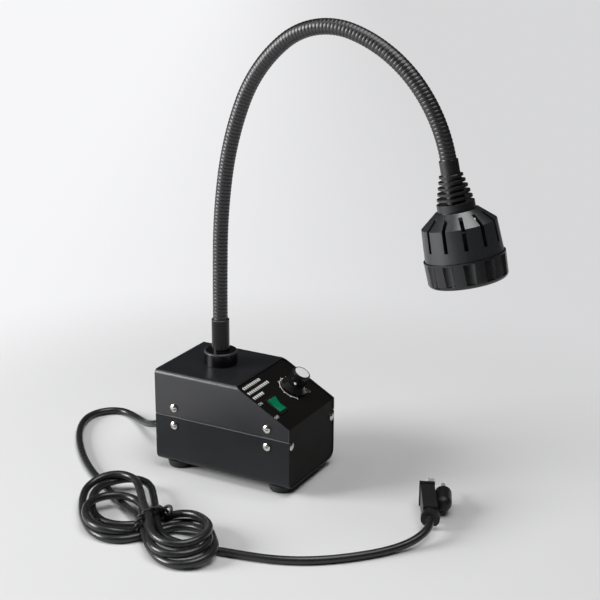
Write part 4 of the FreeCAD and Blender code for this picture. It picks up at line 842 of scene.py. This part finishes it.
def hose_tree():
    tree, given = new_tree("wind_hose", [
        ("Start", "NodeSocketFloat"), ("End", "NodeSocketFloat"), ("Radius", "NodeSocketFloat"),
        ("Rib Pitch", "NodeSocketFloat"), ("Rib Depth", "NodeSocketFloat"), ("Rows A Rib", "NodeSocketInt"),
        ("Sides", "NodeSocketInt"), ("Merge", "NodeSocketFloat")])
    pitch, start, end = given["Rib Pitch"], given["Start"], given["End"]
    step = pitch / given["Rows A Rib"]
    first = (start / pitch).math("FLOOR") - 1
    rows = ((end / pitch).math("CEIL") - first) * given["Rows A Rib"]
    grid = add_node(tree, "GeometryNodeMeshGrid", None, {
        "Size X": 1.0, "Size Y": 1.0, "Vertices X": given["Sides"] + 1, "Vertices Y": rows + 1})[0]
    place = add_node(tree, "GeometryNodeInputPosition")[0]
    corner = add_node(tree, "ShaderNodeSeparateXYZ", None, {"Vector": place})
    around, row = corner[0] + 0.5, (corner[1] + 0.5) * rows
    raw = first * pitch + row * step + around * pitch
    along = raw.math("MAXIMUM", start).math("MINIMUM", end)
    across_rib = (along / pitch - around).math("FRACT") * 2 - 1
    swell = (1 - across_rib * across_rib).math("MAXIMUM", 0.0).math("SQRT")
    radius = given["Radius"] - given["Rib Depth"] * (1 - swell)
    sample = add_node(tree, "GeometryNodeSampleCurve", {"mode": "LENGTH"}, {
        "Curves": given["Geometry"], "Length": along})
    centre, tangent = sample[1], sample[2]
    side = add_node(tree, "ShaderNodeCombineXYZ", None, {"Y": 1.0})[0]
    out = vector_math(tree, "CROSS_PRODUCT", tangent, side)
    angle = around * (2 * math.pi)
    reach = vector_math(tree, "ADD", vector_math(tree, "SCALE", out, angle.math("COSINE") * radius),
                        vector_math(tree, "SCALE", side, angle.math("SINE") * radius))
    moved = add_node(tree, "GeometryNodeSetPosition", None, {
        "Geometry": grid, "Position": vector_math(tree, "ADD", centre, reach)})[0]
    merged = add_node(tree, "GeometryNodeMergeByDistance", None, {
        "Geometry": moved, "Distance": given["Merge"]})[0]
    finish_tree(tree, merged, MATERIALS["hose_black"])
    return tree


wind_hose = hose_tree()
print("the hose tree has", len(wind_hose.nodes), "nodes")

# %% Wind the six pieces
SAME_PLACE = 0.002 * MM
HOSE = {"Radius": 7.5 * MM, "Rib Pitch": 3.65 * MM, "Rib Depth": 0.4 * MM, "Rows A Rib": 8, "Sides": 30,
        "Merge": SAME_PLACE}
BODY_CHAIN = ["base", "neck_2", "neck_3", "neck_4", "neck_5", "neck_6", "head"]


def from_nodes(name, data, tree, values):
    """Runs a tree on a piece of data and returns the plain mesh that comes out."""
    carrier = put(name + "_carrier", data)
    modifier = carrier.modifiers.new("nodes", "NODES")
    modifier.node_group = tree
    for item in tree.interface.items_tree:
        if item.in_out == "INPUT" and item.name in values:
            modifier[item.identifier] = values[item.name]
    mesh = final_mesh(carrier)
    carrier.modifiers.remove(modifier)
    bpy.data.objects.remove(carrier)
    mesh.name = name
    return put(name, mesh)


def close_and_face_out(piece):
    """Merges doubles, fills open ends and turns every face outwards."""
    work = bmesh.new()
    work.from_mesh(piece.data)
    bmesh.ops.remove_doubles(work, verts=work.verts, dist=SAME_PLACE)
    open_edges = [edge for edge in work.edges if edge.is_boundary]
    bmesh.ops.holes_fill(work, edges=open_edges, sides=0)
    bmesh.ops.recalc_face_normals(work, faces=work.faces)
    work.to_mesh(piece.data)
    work.free()


def hose_cut(number):
    """Where piece number starts, measured along the neck's line in millimetres."""
    if number == 1:
        return 0
    if number > len(BODY_CHAIN) - 1:
        return SPAN_LENGTH * (len(NECK_POSES) - 1) + 2 * HIDDEN_END
    return HIDDEN_END + SPAN_LENGTH * (number - 0.5)


for number in range(1, len(BODY_CHAIN)):
    limits = {"Start": hose_cut(number) * MM, "End": hose_cut(number + 1) * MM}
    hose = from_nodes("hose_%d" % number, hose_line, wind_hose, {**HOSE, **limits})
    close_and_face_out(hose)
    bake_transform(hose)
    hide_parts("neck_span_%d" % number)
    print(hose.name, len(hose.data.polygons), "faces")
# The sixth piece also covers the last span, which rides on the head.
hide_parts("neck_span_7")

# %% [markdown]
# ## Softened edges
#
# No real edge is a line without width: folded steel, moulded plastic and turned metal all have a small round
# that catches the light. A CAD mesh can't be changed, so each such part gets a merged copy with a Bevel
# modifier, which stands for the CAD part. On a few parts the new edge faces get a paler finish of their own:
# a painted highlight where the edge catches the light, with some worn paint on the top cover.

# %% A copy with softened edges
FLAT_TOLERANCE = math.radians(0.6)
EDGE_ANGLE = math.radians(32)
BEVEL_STEPS = 2
FLAT_FACE_WEIGHT = 100


def merged_copy(part, name):
    """A clean copy of a CAD part's mesh: doubles merged and flat faces joined."""
    work = bmesh.new()
    work.from_mesh(nodes[part].data)
    bmesh.ops.remove_doubles(work, verts=work.verts, dist=SAME_PLACE)
    bmesh.ops.dissolve_limit(work, angle_limit=FLAT_TOLERANCE, verts=work.verts, edges=work.edges)
    mesh = bpy.data.meshes.new(name)
    work.to_mesh(mesh)
    work.free()
    for polygon in mesh.polygons:
        polygon.material_index = 0
        polygon.use_smooth = True
    return put(name, mesh)


def soften(part, width, finish_name, edge_finish):
    """Stands a copy with rounded edges in the place of a CAD part."""
    piece = merged_copy(part, part + "_soft")
    piece.data.materials.clear()
    piece.data.materials.append(MATERIALS[finish_name])
    bevel = piece.modifiers.new("edges", "BEVEL")
    bevel.width = width * MM
    bevel.segments = BEVEL_STEPS
    bevel.limit_method = "ANGLE"
    bevel.angle_limit = EDGE_ANGLE
    if edge_finish:
        piece.data.materials.append(MATERIALS[edge_finish])
        bevel.material = 1
    flatten = piece.modifiers.new("flat_faces", "WEIGHTED_NORMAL")
    flatten.weight = FLAT_FACE_WEIGHT
    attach(piece, nodes[part]["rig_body"])
    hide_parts(part)
    return piece


# Each part with its bevel in millimetres, its finish, its material slot and its edges' finish, which is a
# painted highlight.
SOFTENED = [
    ("top_cover", 0.35, "upper_paint", "case_paint", "edge_highlight_and_wear"),
    ("bottom_cover", 0.35, "lower_paint", "case_paint", None),
    ("control_panel", 0.25, "panel_black", "panel_black", None),
    ("rear_panel", 0.25, "panel_black", "panel_black", None),
    ("neck_collar", 0.5, "sleeve_black", "neck_black", "painted_rim_highlight"),
    ("neck_ferrule", 0.3, "sleeve_black", "neck_black", "painted_rim_highlight"),
    ("neck_boot", 0.45, "boot_rubber", "rubber", None),
    ("lamp_housing", 0.5, "head_black", "head_black", None),
    ("bezel_ring", 0.45, "ring_black", "head_black", None),
    ("knob_body", 0.3, "knob_black", "knob_black", None),
    ("rocker_housing", 0.4, "switch_black", "switch_black", "painted_rim_highlight"),
    ("rocker", 0.5, "rocker_green", "switch_green", None),
    ("feet", 0.8, "foot_rubber", "rubber", None),
    ("cord_gland", 0.4, "moulded_black", "gland_black", None),
    ("plug_body", 1.4, "plug_black", "plug_black", None),
    ("plug_blades", 0.3, "bright_pin", "nickel", None),
]
for part, width, finish_name, slot_name, edge_finish in SOFTENED:
    soft = soften(part, width, finish_name, edge_finish)
    print(soft.name, len(soft.data.polygons), "faces before the bevel")

# %% [markdown]
# ## The printed panel
#
# The sloping panel carries a printed dial, ON and OFF beside the rocker, and three short
# rows of plain bars where a maker would print words. Print is a film of ink, so each mark
# is a thin mesh that stands a few hundredths of a millimetre proud. The dial's ticks and
# the bars repeat, so Geometry Nodes lay them out. The letters are text objects turned into
# meshes.

# %% The panel's own frame
SLOPE_RUN, SLOPE_RISE = 61, 34
SLOPE = math.hypot(SLOPE_RUN, SLOPE_RISE)
DOWN_SLOPE = Vector((SLOPE_RUN, 0, -SLOPE_RISE)) / SLOPE
OUT_OF_PANEL = Vector((SLOPE_RISE, 0, SLOPE_RUN)) / SLOPE
PANEL_RECESS = 1.5
PANEL_CORNER = Vector((16, 0, 107)) - PANEL_RECESS * OUT_OF_PANEL
INK = 0.06


def panel_place(along, across, above=0.0):
    """A point on the panel in millimetres: down the slope, across it and out of its face."""
    return PANEL_CORNER + DOWN_SLOPE * along + Vector((0, across, 0)) + OUT_OF_PANEL * above


def panel_frame(along, across):
    """A frame on the panel in metres: X runs across, Y runs up the slope, Z out of its face."""
    turn = Matrix((Vector((0, 1, 0)), -DOWN_SLOPE, OUT_OF_PANEL)).transposed().to_4x4()
    return Matrix.Translation(panel_place(along, across) * MM) @ turn


def lay_on_panel(piece, along, across):
    """Moves a flat mesh made round its own origin to its place and lets it ride there."""
    piece.data.transform(panel_frame(along, across))
    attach(piece, "base")


print("panel slopes", round(math.degrees(math.atan2(SLOPE_RISE, SLOPE_RUN)), 1), "degrees")

# %% Bars and ticks by Geometry Nodes
def bar_tree():
    """A row of flat bars along X."""
    tree, given = new_tree("row_of_bars", [
        ("Count", "NodeSocketInt"), ("Pitch", "NodeSocketFloat"), ("Bar Length", "NodeSocketFloat"),
        ("Bar Height", "NodeSocketFloat"), ("Ink", "NodeSocketFloat")])
    step = add_node(tree, "ShaderNodeCombineXYZ", None, {"X": given["Pitch"]})[0]
    line = add_node(tree, "GeometryNodeMeshLine", None, {"Count": given["Count"], "Offset": step})[0]
    size = add_node(tree, "ShaderNodeCombineXYZ", None, {
        "X": given["Bar Length"], "Y": given["Bar Height"], "Z": given["Ink"]})[0]
    bar = add_node(tree, "GeometryNodeMeshCube", None, {"Size": size})[0]
    bars = add_node(tree, "GeometryNodeInstanceOnPoints", None, {"Points": line, "Instance": bar})[0]
    finish_tree(tree, bars, MATERIALS["print_white"])
    return tree


TICK_BOLDNESS = 1.2


def dial_tree():
    """An open circle of ink with ticks on its outer side."""
    tree, given = new_tree("dial", [
        ("Radius", "NodeSocketFloat"), ("From", "NodeSocketFloat"), ("Sweep", "NodeSocketFloat"),
        ("Ticks", "NodeSocketInt"), ("Tick Length", "NodeSocketFloat"), ("Line Width", "NodeSocketFloat"),
        ("Ink", "NodeSocketFloat")])
    arc = add_node(tree, "GeometryNodeCurveArc", None, {
        "Resolution": 64, "Radius": given["Radius"], "Start Angle": given["From"],
        "Sweep Angle": given["Sweep"]})[0]
    section = add_node(tree, "GeometryNodeCurvePrimitiveQuadrilateral", None, {
        "Width": given["Line Width"], "Height": given["Ink"]})[0]
    line = add_node(tree, "GeometryNodeCurveToMesh", None, {
        "Curve": arc, "Profile Curve": section, "Fill Caps": True})[0]
    points = add_node(tree, "GeometryNodeCurveToPoints", {"mode": "COUNT"}, {
        "Curve": arc, "Count": given["Ticks"]})
    size = add_node(tree, "ShaderNodeCombineXYZ", None, {
        "X": given["Tick Length"], "Y": given["Line Width"] * TICK_BOLDNESS, "Z": given["Ink"]})[0]
    tick = add_node(tree, "GeometryNodeMeshCube", None, {"Size": size})[0]
    shift = add_node(tree, "ShaderNodeCombineXYZ", None, {"X": given["Tick Length"] * 0.5})[0]
    outside = add_node(tree, "GeometryNodeTransform", None, {"Geometry": tick, "Translation": shift})[0]
    turn = add_node(tree, "FunctionNodeAlignRotationToVector", {"axis": "Y"}, {"Vector": points[1]})[0]
    ticks = add_node(tree, "GeometryNodeInstanceOnPoints", None, {
        "Points": points[0], "Instance": outside, "Rotation": turn})[0]
    join = tree.nodes.new("GeometryNodeJoinGeometry")
    tree.links.new(line.socket, join.inputs[0])
    tree.links.new(ticks.socket, join.inputs[0])
    finish_tree(tree, Sum(tree, join.outputs[0]), MATERIALS["print_white"])
    return tree


row_of_bars, dial = bar_tree(), dial_tree()
empty_mesh = bpy.data.meshes.new("nothing")
print("trees:", [tree.name for tree in bpy.data.node_groups])

# %% Print on the panel
KNOB_PLACE = (35.5, 16.3)
DIAL = {"Radius": 14.8 * MM, "From": math.radians(-52), "Sweep": math.radians(284), "Ticks": 11,
        "Tick Length": 1.9 * MM, "Line Width": 0.75 * MM, "Ink": INK * MM}
BAR_ROWS = [(7.7, -39.2, 10), (15, -39.9, 12), (22, -40.5, 6)]
BAR = {"Pitch": 3.3 * MM, "Bar Length": 2.3 * MM, "Bar Height": 3.4 * MM, "Ink": INK * MM}

dial_print = from_nodes("dial_print", empty_mesh, dial, DIAL)
lay_on_panel(dial_print, *KNOB_PLACE)
for number, (along, across, count) in enumerate(BAR_ROWS, 1):
    bars = from_nodes("bar_row_%d" % number, empty_mesh, row_of_bars, {"Count": count, **BAR})
    lay_on_panel(bars, along, across)
print("printed", 1 + len(BAR_ROWS), "marks")

# %% Letters and the end mark
LETTER_HEIGHT = 4.2
ON_PLACE, OFF_PLACE = (31.6, -44.3), (52.6, -44.6)
END_MARK_PLACE = (45.5, 29.5)
END_MARK = {"Radius": 1.3 * MM, "From": 0.0, "Sweep": math.tau, "Ticks": 1, "Tick Length": 0.4 * MM,
            "Line Width": 0.4 * MM, "Ink": INK * MM}


def letters(name, text, along, across):
    """A word as a flat mesh on the panel, read from the front."""
    curve = bpy.data.curves.new(name, "FONT")
    curve.body = text
    curve.size = LETTER_HEIGHT * MM
    curve.extrude = INK / 2 * MM
    curve.align_x = "LEFT"
    source = put(name + "_text", curve)
    mesh = final_mesh(source)
    bpy.data.objects.remove(source)
    piece = put(name, mesh)
    set_finish(piece, "print_white")
    lay_on_panel(piece, along, across)


letters("letters_on", "ON", *ON_PLACE)
letters("letters_off", "OFF", *OFF_PLACE)
lay_on_panel(from_nodes("dial_end_mark", empty_mesh, dial, END_MARK), *END_MARK_PLACE)

# %% [markdown]
# ## The knob's dot
#
# A white dot on the knob's flank shows how far it is turned. It is a low dome, so it is made
# as a flattened ball, sunk a little over half into the flank.

# %% Dot on the knob
DOT_RADIUS, DOT_FLATNESS = 1.3, 0.3
KNOB_RADIUS, GRIP_RADIUS = 9.2, 0.9
DOT_HEIGHT, DOT_SUNK = 11.9, 0.1
DOT_FACING = (2.2, -8.9)


def knob_dot():
    work = bmesh.new()
    bmesh.ops.create_uvsphere(work, u_segments=24, v_segments=12, radius=DOT_RADIUS * MM)
    for vertex in work.verts:
        vertex.co.z *= DOT_FLATNESS
    mesh = bpy.data.meshes.new("knob_dot")
    work.to_mesh(mesh)
    work.free()
    for polygon in mesh.polygons:
        polygon.use_smooth = True
    piece = put("knob_dot", mesh)
    along, across = DOT_FACING
    outward = (DOWN_SLOPE * along + Vector((0, across, 0))).normalized()
    turn = outward.to_track_quat("Z", "Y").to_matrix().to_4x4()
    reach = KNOB_RADIUS + GRIP_RADIUS / 2 - DOT_SUNK
    centre = panel_place(*KNOB_PLACE, DOT_HEIGHT) + outward * reach
    mesh.transform(Matrix.Translation(centre * MM) @ turn)
    set_finish(piece, "cap_white")
    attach(piece, "knob")
    return piece


print("dot at", [round(value, 4) for value in knob_dot().data.vertices[0].co])

# %% [markdown]
# ## The tie round the hank
#
# The hank is held by a short twisted tie with a knot on its far side. A flat band would
# be quick, but the twist shows, so two thin strands are led round the bundle and round
# each other, and a third closed curve, a trefoil, stands for the pulled knot. The three
# curves share a round bevel and become one plain mesh.

# %% Twist the tie
TIE_CENTRE = Vector((-1, -172, 13.6))
TIE_HEADING = math.radians(73)
TIE_HALF_WIDTH, TIE_HALF_HEIGHT = 15.5, 10.6
STRAND_RADIUS, STRAND_OFFSET, TWISTS, STRAND_POINTS = 1.5, 1.35, 7, 84
KNOT_CENTRE = Vector((5.4, -156.5, 17))
KNOT_SIZE, KNOT_POINTS = 2.8, 36


def twisted_strand(phase):
    """One of the two strands: round the bundle, and round its partner as it goes."""
    sideways = Vector((math.cos(TIE_HEADING), math.sin(TIE_HEADING), 0))
    through = Vector((-sideways.y, sideways.x, 0))
    up = Vector((0, 0, 1))
    points = []
    for i in range(STRAND_POINTS):
        angle = math.tau * i / STRAND_POINTS
        out = sideways * math.cos(angle) + up * math.sin(angle)
        ring = sideways * (TIE_HALF_WIDTH * math.cos(angle)) + up * (TIE_HALF_HEIGHT * math.sin(angle))
        twist = angle * TWISTS + phase
        points.append(TIE_CENTRE + ring + (out * math.cos(twist) + through * math.sin(twist)) * STRAND_OFFSET)
    return points


def knot_strand():
    """A trefoil whose flat side faces the bundle."""
    points = []
    for i in range(KNOT_POINTS):
        t = math.tau * i / KNOT_POINTS
        x, z = math.sin(t) + 2 * math.sin(2 * t), math.cos(t) - 2 * math.cos(2 * t)
        points.append(KNOT_CENTRE + Vector((x, -math.sin(3 * t), z)) * KNOT_SIZE)
    return points


def closed_tubes(name, loops, radius):
    """Closed curves with a round section, turned into one mesh."""
    curve = bpy.data.curves.new(name, "CURVE")
    curve.dimensions = "3D"
    curve.bevel_depth = radius * MM
    curve.bevel_resolution = 3
    curve.resolution_u = 3
    for loop in loops:
        spline = curve.splines.new("NURBS")
        spline.points.add(len(loop) - 1)
        for point, place in zip(spline.points, loop):
            point.co = (*(place * MM), 1)
        spline.order_u = 3
        spline.use_cyclic_u = True
    source = put(name + "_curve", curve)
    mesh = final_mesh(source)
    bpy.data.objects.remove(source)
    piece = put(name, mesh)
    for polygon in mesh.polygons:
        polygon.use_smooth = True
    return piece


tie = closed_tubes("hank_tie", [twisted_strand(0), twisted_strand(math.pi), knot_strand()], STRAND_RADIUS)
set_finish(tie, "tie_black")
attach(tie, "base")
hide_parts("cord_tie")
print("tie:", len(tie.data.polygons), "faces")
